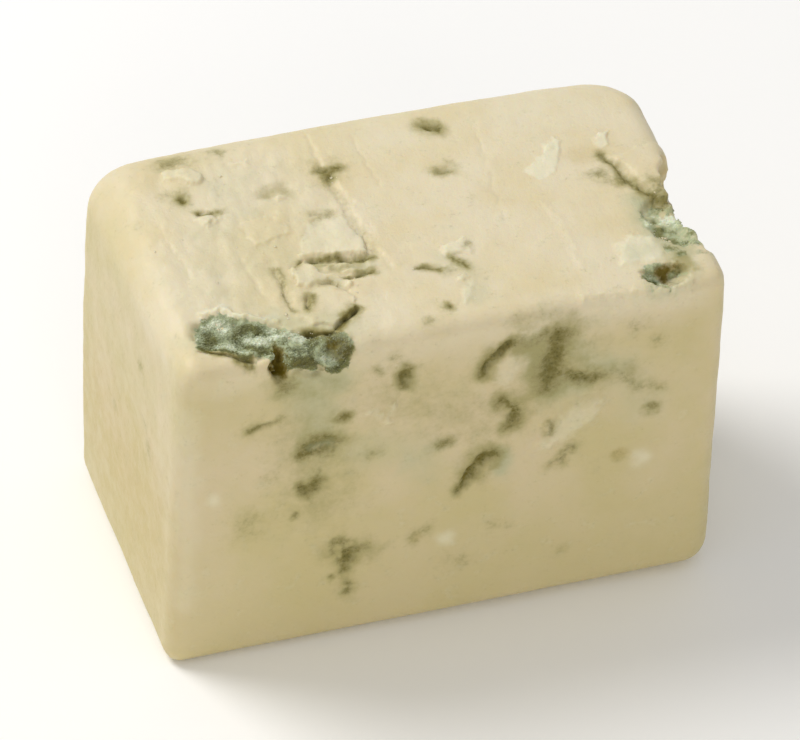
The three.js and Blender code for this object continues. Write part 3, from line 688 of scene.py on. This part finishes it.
def longest_side(places, maps):
    """The longest triangle side that is wanted at places: by the face, and shorter near details."""
    x, y, z = places.T
    half, top = DEPTH / 2 - FACE_BAND, z > HEIGHT - FACE_BAND
    grain = np.select([z < BASE_TOP, y > half, top & (x < CRUMBLY_END), top | (y < -half), x < 0],
                      [BASE_GRAIN, BACK_GRAIN, CRUMBLY_GRAIN, FRONT_GRAIN, LEFT_GRAIN], BACK_GRAIN)
    for face, fine in maps.items():
        spot = on_face(places, face)
        cell = ((spot[:, :2] - MAP_START) / MAP_STEP).round().astype(int)
        apart = (np.abs(spot[:, 2]) - GRAIN_REACH).clip(0)
        grain = np.minimum(grain, fine[tuple(cell.T)] + GRAIN_SLOPE * apart)
    return grain


def refined(spot, corners, sides, maps):
    """Halves every triangle side that is longer than is wanted at its middle, in rounds until none is.
    A triangle of which one, two or three sides are halved becomes two, three or four triangles."""
    while True:
        place = block_surface(spot)
        pairs = np.sort(np.stack([corners, np.roll(corners, -1, 1)], -1), -1).reshape(-1, 2)
        keys, number = np.unique(pairs[:, 0] * len(spot) + pairs[:, 1], return_inverse=True)
        ends = np.stack([keys // len(spot), keys % len(spot)], -1)
        way = place[ends[:, 0]] - place[ends[:, 1]]
        halved = np.linalg.norm(way, axis=1) > longest_side(place[ends].mean(1), maps)
        if not halved.any():
            return spot, corners, sides
        middle = (np.cumsum(halved) - 1 + len(spot))[number].reshape(-1, 3)
        split = halved[number].reshape(-1, 3)
        spot = np.concatenate([spot, spot[ends[halved]].mean(1)])
        count = split.sum(1)
        # each triangle starts at the split side, or ends with the side that isn't split
        first = np.where(count == 1, split.argmax(1), (split.argmin(1) + 1) % 3)
        turn = (np.arange(3) + first[:, None]) % 3
        a, b, c = np.take_along_axis(corners, turn, 1).T
        ab, bc, ca = np.take_along_axis(middle, turn, 1).T
        parts = {
            0: [(a, b, c)],
            1: [(a, ab, c), (ab, b, c)],
            2: [(ab, b, bc), (a, ab, bc), (a, bc, c)],
            3: [(a, ab, ca), (ab, b, bc), (ca, bc, c), (ab, bc, ca)],
        }
        made = [(np.stack(part, -1)[count == n], sides[count == n]) for n in parts for part in parts[n]]
        corners = np.concatenate([part[0] for part in made])
        sides = np.concatenate([part[1] for part in made])


def dug_depth(places, inward):
    """How far each point has to go inwards to leave the hollows it lies in, and the mould and the rot
    that those hold. It steps through each hollow, and mixes the last two steps for the exact way out."""
    depth = np.zeros(len(places))
    held = np.zeros((len(places), 2))
    for number, row in enumerate(HOLLOWS * 2):
        lump = Lump(row, number % len(HOLLOWS))
        reach = NEAR_SHARE * lump.size.max() + NEAR_MORE
        near = np.flatnonzero(np.linalg.norm(places - lump.middle, axis=1) < reach + depth)
        value = lump.measure(places[near] + depth[near, None] * inward[near])
        inside = value < 0
        held[near] = np.maximum(held[near], inside[:, None] * np.array(row[7:9]))
        near, value = near[inside], value[inside]
        for _ in range(DIG_STEPS):
            if not len(near):
                break
            ahead = lump.measure(places[near] + (depth[near] + DIG_STEP)[:, None] * inward[near])
            out = ahead >= 0
            rest = DIG_STEP * value / (value - np.where(out, ahead, value + 1))
            depth[near] += np.where(out, rest, DIG_STEP)
            near, value = near[~out], ahead[~out]
    return depth, held


def smoothed(values, faces, rounds):
    """Each value moved halfway to the mean of its neighbours along the faces' sides, so many times."""
    pairs = np.stack([faces, np.roll(faces, -1, 1)], -1).reshape(-1, 2)
    count = len(values)
    friends = np.bincount(pairs[:, 0], minlength=count) + np.bincount(pairs[:, 1], minlength=count)
    for _ in range(rounds):
        total = np.bincount(pairs[:, 0], values[pairs[:, 1]], count)
        total += np.bincount(pairs[:, 1], values[pairs[:, 0]], count)
        values = (values + total / friends) / 2
    return values


def mark_field(places, kind, warp, spread=1):
    """How strongly each place shows one kind of mark: strength * exp(-(d / width)^2), with d the distance
    on the face from the mark's line and the width times the spread, faded where the place lies off that
    face."""
    field = np.zeros(len(places))
    for face, kinds in MARKS.items():
        spot = on_face(places + warp, face)
        gate = np.exp(-((spot[:, 2] / MARK_REACH) ** 2))
        for strength, width, *points in kinds.get(kind, []):
            apart = from_line(spot[:, :2], points) / (width * spread)
            field = np.maximum(field, gate * strength * np.exp(-(apart**2)))
    return field


def step_relief(places, warp):
    """How high the steps raise or lower each place, and how milky they leave the curd there, which on the
    front's light lump is partly a painted highlight. A step is its height, plus more towards one end, where
    the place is inside its outline by more than its rim."""
    height, milk_and_highlight = np.zeros(len(places)), np.zeros(len(places))
    for face, rise, more, way, rim, milk_and_highlight_share, outline in STEPS:
        spot = on_face(places, face)
        near = np.abs(spot[:, 2]) < MARK_REACH
        spot = spot[near, :2] + warp[near, :2]
        share = ease(-rim, rim, inside_outline(spot, outline))
        middle = np.mean(outline, axis=0)
        ahead = np.array([math.cos(math.radians(way)), math.sin(math.radians(way))])
        reach = ((np.array(outline) - middle) @ ahead).max()
        height[near] += share * (rise + more * ((spot - middle) @ ahead / reach).clip(-1, 1))
        milk_and_highlight[near] = np.maximum(milk_and_highlight[near], share * milk_and_highlight_share)
    return height, milk_and_highlight


def stroke_relief(places, warp):
    """How high the strokes raise or lower each place: height * exp(-(d / width)^2) for each."""
    total = np.zeros(len(places))
    for face, height, width, points in STROKES:
        spot = on_face(places, face)
        near = np.abs(spot[:, 2]) < MARK_REACH
        apart = from_line(spot[near, :2] + width * warp[near, :2], points)
        total[near] += height * np.exp(-((apart / width) ** 2))
    return total


def mould_cover(places, warp):
    """How much mould covers each place, from 0 to 1: the density inside the moulds' outlines, and less
    at their rims."""
    cover = np.zeros(len(places))
    for face, density, rim, outline in MOULDS:
        spot = on_face(places, face)
        near = (np.abs(spot[:, 2]) < MARK_REACH) & (spot[:, 2] > -MOULD_REACH)
        apart = inside_outline(spot[near, :2] + 2 * rim * warp[near, :2], outline)
        cover[near] = np.maximum(cover[near], density * ease(-rim, rim, apart))
    return cover


# Relief of the paste, in mm: how far it stands out and how long its waves are, where it is cut, where
# curd is smeared, in the creases and lumps of the crumbly part, and on the walls of the hollows.
CUT_RELIEF, CUT_WAVE = 0.045, 2.4
SMEAR_RELIEF, SMEAR_WAVE = 0.06, 0.9
CREASE_RELIEF, CREASE_WAVE = 0.05, 1.8
LUMP_RELIEF, LUMP_WAVE = 0.1, 1.5
WALL_RELIEF, WALL_WAVE = 0.07, 1.2
# Mould fills a hollow to at least this share of its depth, more where it grows well, and less on the
# right half. Its lumps stand out so far on the left and the right half, from this level of growth.
LEAST_FILLED, MORE_FILLED, RIGHT_FILLED = 0.25, 0.55, 0.15
LEFT_GROWTH, RIGHT_GROWTH, GROWTH_LEVEL = 0.24, 0.06, 0.6
# It reaches this far below a face.
MOULD_REACH = 1.5

# Colours of the finishes, as sRGB from 0 to 255.
CREAM = (226, 215, 185)
BUTTER = (221, 207, 168)
DEEP_CREAM = (200, 183, 134)
# also the colour of the painted highlights
MILK_WHITE = (230, 225, 198)
# painted shade: the sides' cream, and the deeper cream towards the base
SHADED_SIDE_CREAM = (213, 198, 160)
SHADED_BASE_CREAM = (203, 190, 140)
TAN_COLOUR = (196, 172, 108)
VEIN_STAIN = (158, 150, 94)
# dark vein cores, and painted shadows along some cracks and flake edges
VEIN_AND_SHADOW_DARK = (110, 102, 52)
VEIN_GRIT = (82, 81, 48)
HALO_TEAL = (180, 184, 148)
# dark growth, and the painted shade in the gaps between the growth's lumps
MOULD_DARK_AND_GAP_SHADE = (122, 124, 80)
MOULD_MID = (176, 184, 148)
MOULD_PALE = (228, 234, 208)
ROT_BROWN = (108, 94, 20)
FLOOR_WHITE = (254, 254, 254)

# Tufts of mould and crumbs of curd: how many, and the tufts' radii.
TUFT_COUNT, TUFT_SMALLEST, TUFT_LARGEST = 5000, 0.03, 0.085
CRUMB_COUNT = 70

# Lamps: place, width, power in watts and colour. The room's light comes from everywhere.
LAMPS = {
    "key": ((-200, 180, 350), 220, 1.12, (1.0, 0.985, 0.95)),
    "fill": ((-60, -420, 200), 300, 0.42, (1.0, 0.92, 0.78)),
}
ROOM_LIGHT = 0.5
LAMP_AIM = (0, 0, 14)
FLOOR_HALF = 600
# The camera: its place, how far it looks down and to the side, in degrees, and its lens and picture.
CAMERA_PLACE = (-179.4, -501.0, 497.8)
CAMERA_PITCH, CAMERA_HEADING = 42.04, 14.57
LENS, PICTURE_WIDTH = 452, 36


def linear(colour):
    """An sRGB colour from 0 to 255 as a linear colour with alpha 1."""
    share = np.array(colour) / 255
    value = np.where(share <= 0.04045, share / 12.92, ((share + 0.055) / 1.055) ** 2.4)
    return (*value.tolist(), 1.0)


class Finish:
    """A material's nodes, made one call at a time. Each call gives the socket that the next one reads.
    Waves are in millimetres, and patterns read the Object coordinates."""

    def __init__(self, name):
        self.material = bpy.data.materials.new(name)
        self.material.use_nodes = True
        self.tree = self.material.node_tree
        self.shader = self.tree.nodes["Principled BSDF"]
        self.place = self.add("ShaderNodeTexCoord").outputs["Object"]

    def add(self, kind, inputs=None, **settings):
        """A new node with its settings and with its inputs fed."""
        node = self.tree.nodes.new(kind)
        for key, value in settings.items():
            setattr(node, key, value)
        for key, value in (inputs or {}).items():
            self.feed(node.inputs[key], value)
        return node

    def feed(self, socket, value):
        """Links a socket to another node's socket, or gives it a plain value."""
        if isinstance(value, bpy.types.NodeSocket):
            self.tree.links.new(value, socket)
        else:
            socket.default_value = value

    def set(self, **values):
        """Feeds the shader's sockets, named with _ for a space."""
        for name, value in values.items():
            self.feed(self.shader.inputs[name.replace("_", " ")], value)

    def grain(self, wave, detail=3.0, roughness=0.55, place=None):
        """Cloudy noise of one wave, from 0 to 1."""
        inputs = {"Vector": place or self.place, "Scale": 1 / (wave * MM), "Detail": detail}
        return self.add("ShaderNodeTexNoise", {**inputs, "Roughness": roughness}).outputs["Fac"]

    def cells(self, wave):
        """The distance to the nearest of scattered spots, which lie about a wave apart."""
        inputs = {"Vector": self.place, "Scale": 1 / (wave * MM)}
        return self.add("ShaderNodeTexVoronoi", inputs).outputs["Distance"]

    def stretched(self, x, y, z):
        """The place, shrunk or stretched along the object's axes."""
        return self.add("ShaderNodeMapping", {"Vector": self.place, "Scale": (x, y, z)}).outputs["Vector"]

    def height(self):
        """The height above the base, in metres."""
        return self.add("ShaderNodeSeparateXYZ", {"Vector": self.place}).outputs["Z"]

    def field(self, name):
        """One of the fields that the mesh holds at its points."""
        return self.add("ShaderNodeAttribute", attribute_name=name).outputs["Fac"]

    def math(self, operation, a, b):
        """Two values brought together by an operation."""
        return self.add("ShaderNodeMath", {0: a, 1: b}, operation=operation).outputs[0]

    def plus(self, value, pattern, strength):
        """value + strength * (pattern - 0.5)."""
        centred = self.math("SUBTRACT", pattern, 0.5)
        return self.math("ADD", value, self.math("MULTIPLY", centred, strength))

    def over(self, value, low, high, most=1.0, least=0.0):
        """least below low and most above high, with a smooth S between."""
        inputs = {"Value": value, "From Min": low, "From Max": high, "To Min": least, "To Max": most}
        return self.add("ShaderNodeMapRange", inputs, interpolation_type="SMOOTHSTEP").outputs["Result"]

    def mix(self, share, first, second):
        """The first colour, moved towards the second by the share."""
        first, second = (linear(c) if isinstance(c, tuple) else c for c in (first, second))
        return self.add("ShaderNodeMix", {0: share, 6: first, 7: second}, data_type="RGBA").outputs[2]

    def tint(self, colour, other, value, low, high, most=1.0):
        """The colour below low, and as much of the other as most above high."""
        return self.mix(self.over(value, low, high, most), colour, other)

    def mottled(self, name, *patterns):
        """A field made uneven by patterns, each with its strength."""
        value = self.field(name)
        for pattern, strength in patterns:
            value = self.plus(value, pattern, strength)
        return value

    def bump(self, height, depth, strength=1.0, normal=None):
        """Relief that a height from 0 to 1 gives at a depth in mm, on top of an earlier relief."""
        inputs = {"Height": height, "Distance": depth * MM, "Strength": strength}
        if normal is not None:
            inputs["Normal"] = normal
        return self.add("ShaderNodeBump", inputs).outputs["Normal"]


def paste_colour(finish, broad, middle, fine):
    """Cream curd in soft blotches, with painted shade deeper on the sides and towards the base, milky where
    it is smeared, and with painted highlights on some edges and lips.
    """
    colour = finish.tint(CREAM, BUTTER, broad, 0.36, 0.66)
    # Painted shade: the sides are deeper than the top, and darker again towards the base.
    side = finish.tint(SHADED_SIDE_CREAM, SHADED_BASE_CREAM, broad, 0.3, 0.7)
    low = finish.over(finish.plus(finish.height(), broad, 8 * MM), 0.0, 16 * MM, 0.0, 0.6)
    side = finish.mix(low, side, SHADED_BASE_CREAM)
    colour = finish.mix(finish.field("side"), colour, side)
    colour = finish.tint(colour, MILK_WHITE, middle, 0.56, 0.78, 0.25)
    colour = finish.tint(colour, DEEP_CREAM, fine, 0.58, 0.8, 0.25)
    # milky curd, and painted highlights on some edges, lips and the front's light lump
    colour = finish.tint(colour, MILK_WHITE, finish.mottled("milk_and_highlight", (middle, 0.3)), 0.1, 1.1, 0.8)
    colour = finish.tint(colour, DEEP_CREAM, finish.field("open"), 0.1, 1.0, 0.4)
    return finish.tint(colour, TAN_COLOUR, finish.mottled("tan_tint", (middle, 0.4)), 0.1, 1.0, 0.5)


def vein_colour(finish, colour, middle, fine):
    """Veins: a faint teal halo, a blurred olive stain, and dark grains where a vein nears the surface. Its
    dark core also paints the shadows along some cracks and flake edges.
    """
    halo = finish.mottled("halo", (finish.grain(2.6, 3), 0.7))
    colour = finish.tint(colour, HALO_TEAL, halo, 0.0, 1.2, 0.75)
    stain = finish.mottled("stain", (middle, 0.7), (fine, 0.3))
    colour = finish.tint(colour, VEIN_STAIN, stain, 0.0, 0.8, 0.85)
    core = finish.mottled("vein_and_shadow", (middle, 0.8), (fine, 1.1))
    # dark vein cores, and painted shadows along some cracks and flake edges
    colour = finish.tint(colour, VEIN_AND_SHADOW_DARK, core, 0.1, 1.3, 0.95)
    dots = finish.over(finish.cells(0.28), 0.1, 0.45, 0.0, 0.5)
    grit = finish.math("MULTIPLY", dots, finish.over(core, 0.3, 1.0))
    return finish.mix(grit, colour, VEIN_GRIT), core


def mould_colour(finish, tips):
    """Grey-green growth, pale at its tips, darker in its gaps as painted shade, and olive where it is
    stained.
    """
    colour = finish.tint(MOULD_DARK_AND_GAP_SHADE, MOULD_MID, tips, 0.1, 0.5)
    colour = finish.tint(colour, MOULD_PALE, tips, 0.55, 1.0)
    return finish.tint(colour, VEIN_AND_SHADOW_DARK, finish.field("stain"), 0.3, 1.0, 0.7)


def paste_finish():
    """Moist cream paste that lets light in, with veins, mould and brown rot where its fields say."""
    finish = Finish("cheese_paste")
    broad, middle, fine = finish.grain(7, 3), finish.grain(1.3, 5), finish.grain(0.34, 5, 0.62)
    colour = paste_colour(finish, broad, middle, fine)
    colour, core = vein_colour(finish, colour, middle, fine)
    mould = finish.over(finish.mottled("blue", (middle, 0.6), (fine, 0.8)), 0.3, 0.85)
    tips = finish.mottled("bloom", (finish.grain(1.1, 5, 0.6), 1.6), (finish.grain(0.25, 4), 0.5))
    colour = finish.mix(mould, colour, mould_colour(finish, tips))
    rotten = finish.over(finish.mottled("brown", (middle, 0.5), (fine, 0.8)), 0.25, 0.85, 0.95)
    colour = finish.mix(rotten, colour, ROT_BROWN)

    drag = finish.grain(0.5, 3, 0.5, finish.stretched(1, 0.12, 1))
    soft = finish.bump(finish.grain(2.2, 4, 0.5), 0.22, 0.5)
    lines = finish.bump(drag, 0.05, 0.35, soft)
    grain = finish.bump(fine, 0.06, 0.55, lines)
    pores = finish.bump(finish.over(finish.cells(0.8), 0.0, 0.2), 0.05, 0.35, grain)
    gloss = finish.over(finish.plus(middle, fine, 0.5), 0.3, 0.75, 0.62, 0.42)
    roughness = finish.math("MAXIMUM", gloss, finish.math("MULTIPLY", mould, 0.88))
    dull = finish.math("MAXIMUM", finish.over(core, 0.35, 1.0), finish.math("MAXIMUM", mould, rotten))
    shine = finish.over(dull, 0, 1, 0.08, 0.4)
    finish.set(Base_Color=colour, Roughness=roughness, Specular_IOR_Level=shine, Normal=pores)
    finish.set(Subsurface_Weight=0.4, Subsurface_Radius=(1.0, 0.72, 0.36), Subsurface_Scale=0.9 * MM)
    return finish.material


def crumb_finish():
    """Loose crumbs of curd: paler and cooler than the paste."""
    finish = Finish("curd_crumb")
    colour = finish.tint(BUTTER, CREAM, finish.grain(1.4, 3), 0.35, 0.65)
    normal = finish.bump(finish.grain(0.3, 4, 0.6), 0.04, 0.6)
    finish.set(Base_Color=colour, Roughness=0.5, Normal=normal)
    finish.set(Subsurface_Weight=0.3, Subsurface_Radius=(1.0, 0.76, 0.45), Subsurface_Scale=0.4 * MM)
    return finish.material


def mould_finish():
    """Dry mould: dull, fluffy and uneven, each tuft in its own shade."""
    finish = Finish("blue_mould")
    colour = mould_colour(finish, finish.mottled("shade", (finish.grain(0.3, 4, 0.7), 0.3)))
    finish.set(Base_Color=colour, Roughness=0.95, Specular_IOR_Level=0.1)
    finish.set(Sheen_Weight=0.15, Sheen_Roughness=0.6)
    finish.set(Subsurface_Weight=0.1, Subsurface_Radius=(1.0, 1.0, 0.8), Subsurface_Scale=0.3 * MM)
    return finish.material


def floor_finish():
    """A plain pale table top."""
    finish = Finish("pale_floor")
    finish.set(Base_Color=linear(FLOOR_WHITE), Roughness=0.7)
    return finish.material


def mesh_piece(name, places, faces, finish, fields=None):
    """A smooth mesh in metres, with its fields as point attributes."""
    mesh = bpy.data.meshes.new(name)
    mesh.from_pydata((places * MM).tolist(), [], faces.tolist())
    mesh.shade_smooth()
    for key, values in (fields or {}).items():
        mesh.attributes.new(key, "FLOAT", "POINT").data.foreach_set("value", values.astype(np.float32))
    mesh.materials.append(finish)
    piece = bpy.data.objects.new(name, mesh)
    bpy.context.scene.collection.objects.link(piece)
    return piece


def lay_out_sides(mesh, spot, faces, sides):
    """A map for keeping the finish as a picture: the six sides laid side by side at one scale, the long
    ones in two rows of two, and the two ends turned beside each other above them."""
    gap = 0.8
    wide = 2 * LENGTH + 3 * gap
    rows = (gap, HEIGHT + 2 * gap, HEIGHT + DEPTH + 3 * gap)
    x, y, z = ((spot[faces.ravel()] + 1) * HALF).T
    side = np.repeat(sides, faces.shape[1])
    # for each side: across the map, up the map
    places = {
        0: (gap + z, rows[2] + y), 1: (2 * gap + HEIGHT + z, rows[2] + y),
        2: (gap + x, rows[0] + z), 3: (2 * gap + LENGTH + x, rows[0] + z),
        4: (gap + x, rows[1] + y), 5: (2 * gap + LENGTH + x, rows[1] + y),
    }
    uv = np.zeros((len(side), 2), np.float32)
    for number, (across, up) in places.items():
        uv[side == number] = np.stack([across, up], -1)[side == number] / wide
    mesh.uv_layers.new(name="OFBake").uv.foreach_set("vector", uv.ravel())


def shape_paste():
    """The paste: the block's surface, dug out where its hollows are and raised or cut by its steps and
    strokes, then roughened: finely on the right half, crumbly on the left of the top, coarsely in the
    hollows, and in lumps where mould grows and half fills them."""
    steps, quads, sides = lattice(PASTE_CELLS)
    even = 2 * steps / np.array(PASTE_CELLS) - 1
    corners = np.concatenate([quads[:, [0, 1, 2]], quads[:, [0, 2, 3]]])
    spot, corners, sides = refined(even, corners, np.tile(sides, 2), grain_maps())
    base = block_surface(spot)
    centred = base - (0, 0, HEIGHT / 2)
    outward = centred - np.clip(centred, CORE_INSET - HALF, HALF - CORE_INSET)
    outward /= np.linalg.norm(outward, axis=1, keepdims=True)

    depth, held = dug_depth(base, -outward)
    uneven = 0.6 * rough(base, 1.0, 3, 71) / (1 + depth**2)
    depth = smoothed(depth * (0.75 + uneven + 0.1 * depth).clip(0.25, 1.1), corners, 3)
    opened = ease(0.04, 0.35, depth)
    mould, rot = (smoothed(column * opened, corners, 1) for column in held.T)
    ragged = np.stack([rough(base, 1.1, 4, seed) for seed in (31, 37, 41)], -1)
    warp = 0.4 * np.stack([rough(base, 1.6, 4, seed) for seed in (51, 53, 59)], -1)
    fields = {kind: mark_field(base, kind, warp) for kind in ("stain", "halo", "brown", "blue", "tan_tint")}
    # veins, and painted shadows along some cracks and flake edges
    fields["vein_and_shadow"] = mark_field(base, "vein_and_shadow", warp, 1.2)
    cover = mould_cover(base, ragged[:, :2]) * (1 - ease(0.45, 0.9, fields["brown"]))

    top = ease(0.6, 0.9, outward[:, 2])
    lift = ease(0.0, 1.2, base[:, 2])
    crumbly = top * ease(-1.5, -5.0, base[:, 0] + 0.8 * noise(base, 3.0, 7))
    raised, milk_and_highlight = step_relief(base, 0.3 * ragged[:, :2])
    relief = raised + stroke_relief(base, 1.2 * ragged[:, :2])
    relief += CUT_RELIEF * rough(base, CUT_WAVE, 3, 3) + milk_and_highlight * SMEAR_RELIEF * rough(base, SMEAR_WAVE, 3, 27)
    lumps = LUMP_RELIEF * rough(base * (1, 0.5, 1), LUMP_WAVE, 3, 19)
    relief += crumbly * (CREASE_RELIEF * creased(base, CREASE_WAVE, 3, 11) + lumps)
    relief += ease(0.3, 0.8, depth) * (1 - cover) * WALL_RELIEF * creased(base, WALL_WAVE, 2, 23)
    growth = 0.5 + 0.45 * rough(base, 1.25, 3, 61) + 0.1 * creased(base, 0.5, 2, 67)
    left = base[:, 0] < 0
    filled = cover * (LEAST_FILLED + MORE_FILLED * growth.clip(0, 1)) * np.where(left, 1, RIGHT_FILLED)
    depth = depth * (1 - filled)
    relief += cover * np.where(left, LEFT_GROWTH, RIGHT_GROWTH) * (growth - GROWTH_LEVEL)
    places = base + ((relief * lift - depth)[:, None]) * outward

    fields["stain"] = np.maximum(fields["stain"], mark_field(base, "vein_and_shadow", warp, 2.2))
    fields["blue"] = np.maximum(fields["blue"], np.maximum(cover, 0.5 * mould))
    fields["brown"] = np.maximum(fields["brown"], 0.75 * rot * ease(0.3, 0.9, depth))
    # pale where the growth stands out, and painted shade darker in the gaps between its lumps
    fields["bloom"] = 0.25 + 0.35 * growth + 0.6 * mark_field(base, "bloom", warp)
    fields["bloom"] -= 0.7 * mark_field(base, "shade", warp)
    # pale curd, and painted highlights on some edges, lips and the front's light lump
    fields["milk_and_highlight"] = np.maximum(milk_and_highlight, mark_field(base, "milk_and_highlight", warp))
    fields["open"] = opened
    # the sides, which get the painted shade of a deeper cream
    fields["side"] = 1 - ease(0.15, 0.9, outward[:, 2])
    return places, corners, sides, spot, outward, fields


def strewn(centres, normals, radii, cells, squash, ragged):
    """Small ragged balls, one at each centre: each point of a ball lies out by the radius, times a random
    reach, along a way that is turned at random, then flattened along the surface's normal."""
    steps, quads, _ = lattice(cells)
    ways = 2 * steps / np.array(cells) - 1
    ways /= np.linalg.norm(ways, axis=1, keepdims=True)
    turns = np.linalg.qr(RANDOM.normal(size=(len(centres), 3, 3)))[0]
    turns[:, :, 0] *= np.sign(np.linalg.det(turns))[:, None]
    reach = 1 + ragged * RANDOM.uniform(-1, 1, (len(centres), len(ways)))
    ball = np.einsum("tij,pj->tpi", turns, ways) * (reach * radii[:, None])[..., None]
    above = np.einsum("tpi,ti->tp", ball, normals)
    ball -= (1 - squash) * above[..., None] * normals[:, None]
    places = (centres[:, None] + ball).reshape(-1, 3)
    every = quads + (np.arange(len(centres)) * len(ways))[:, None, None]
    return places, every.reshape(-1, 4), len(ways)


def shape_mould(places, outward, fields):
    """Mould growth: tiny tufts where the blue field is strong, shaded as the growth below them is."""
    cover = ease(0.7, 1.0, fields["blue"] + 0.3 * noise(places, 0.8, 91)) * (1 - fields["brown"])
    chosen = RANDOM.choice(len(places), TUFT_COUNT, p=cover / cover.sum())
    radii = TUFT_SMALLEST + (TUFT_LARGEST - TUFT_SMALLEST) * RANDOM.random(len(chosen)) ** 2
    jitter = RANDOM.uniform(-0.08, 0.08, (len(chosen), 3))
    centres = places[chosen] + jitter - (jitter * outward[chosen]).sum(1)[:, None] * outward[chosen]
    tufts, quads, size = strewn(centres, outward[chosen], radii, (1, 1, 1), 0.8, 0.35)
    shade = fields["bloom"][chosen] + 0.25 * noise(centres, 0.5, 95) + RANDOM.normal(0, 0.08, len(centres))
    tints = {"shade": shade, "stain": fields["stain"][chosen]}
    return tufts, quads, {name: np.repeat(values, size) for name, values in tints.items()}


def shape_crumbs(places, outward, fields):
    """Crumbs of curd: where the paste is broken or dragged, and a few elsewhere on the top."""
    top = ease(0.75, 0.95, outward[:, 2])
    left = ease(-1.0, -6.0, places[:, 0])
    chance = top * (0.01 + 0.1 * left + 0.6 * fields["open"]) * ease(0.2, 0.6, noise(places, 2.2, 97))
    chosen = RANDOM.choice(len(places), CRUMB_COUNT, p=chance / chance.sum())
    radii = 0.04 + 0.1 * RANDOM.random(len(chosen)) ** 3
    crumbs, quads, _ = strewn(places[chosen], outward[chosen], radii, (2, 2, 2), 0.55, 0.4)
    return crumbs, quads


def studio():
    """A wide pale floor, a soft key light from the upper left and behind, and an even white room."""
    corners = FLOOR_HALF * np.array([(-1, -1, 0), (1, -1, 0), (1, 1, 0), (-1, 1, 0)], float)
    mesh_piece("floor", corners, np.array([[0, 1, 2, 3]]), floor_finish())
    for name, (place, width, power, colour) in LAMPS.items():
        lamp = bpy.data.lights.new(name, "AREA")
        lamp.shape, lamp.size, lamp.energy, lamp.color = "DISK", width * MM, power, colour
        holder = bpy.data.objects.new(name, lamp)
        holder.location = Vector(place) * MM
        holder.rotation_euler = (Vector(LAMP_AIM) - Vector(place)).to_track_quat("-Z", "Y").to_euler()
        bpy.context.scene.collection.objects.link(holder)
    world = bpy.data.worlds.new("room")
    world.use_nodes = True
    world.node_tree.nodes["Background"].inputs["Color"].default_value = (1, 1, 1, 1)
    world.node_tree.nodes["Background"].inputs["Strength"].default_value = ROOM_LIGHT
    bpy.context.scene.world = world
    bpy.context.scene.view_settings.view_transform = "Standard"


def camera(shift):
    """A long lens from the front left and above. It is a camera that looks level to its picture's
    horizon, at a pitch and a heading, turned the shortest way until the chunk is in the middle. It
    moves with the chunk by the shift."""
    place, middle = Vector(CAMERA_PLACE), Vector((0, 0, HEIGHT / 2))
    pitch, heading = math.radians(CAMERA_PITCH), math.radians(CAMERA_HEADING)
    level_way = Vector((math.sin(heading), math.cos(heading), 0))
    ahead = level_way * math.cos(pitch) - Vector((0, 0, math.sin(pitch)))
    level = ahead.to_track_quat("-Z", "Y")
    data = bpy.data.cameras.new("camera")
    data.lens, data.sensor_width = LENS, PICTURE_WIDTH
    data.clip_start, data.clip_end = 0.01, 10
    holder = bpy.data.objects.new("camera", data)
    holder.location = (place + Vector(shift)) * MM
    holder.rotation_mode = "QUATERNION"
    holder.rotation_quaternion = ahead.rotation_difference(middle - place) @ level
    bpy.context.scene.collection.objects.link(holder)
    bpy.context.scene.camera = holder


def build_chunk():
    """Shapes every piece in the block's own frame, then moves them together to where the model lies,
    and gives how far that is."""
    paste, corners, sides, spot, outward, fields = shape_paste()
    mould, mould_quads, growth = shape_mould(paste, outward, fields)
    crumbs, crumb_quads = shape_crumbs(paste, outward, fields)
    shift = (PASTE_LOW + PASTE_HIGH - paste.min(0) - paste.max(0)) / 2
    shift[2] = PASTE_LOW[2] - paste[:, 2].min()

    pieces = [
        (mesh_piece("cheese_paste", paste + shift, corners, paste_finish(), fields), "paste"),
        (mesh_piece("mould_growth", mould + shift, mould_quads, mould_finish(), growth), "mould"),
        (mesh_piece("curd_crumbs", crumbs + shift, crumb_quads, crumb_finish()), "paste"),
    ]
    lay_out_sides(pieces[0][0].data, spot, corners, sides)
    for piece, slot in pieces:
        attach(piece, "root")
    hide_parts("cheese")
    return shift


shift = build_chunk()
studio()
camera(shift)
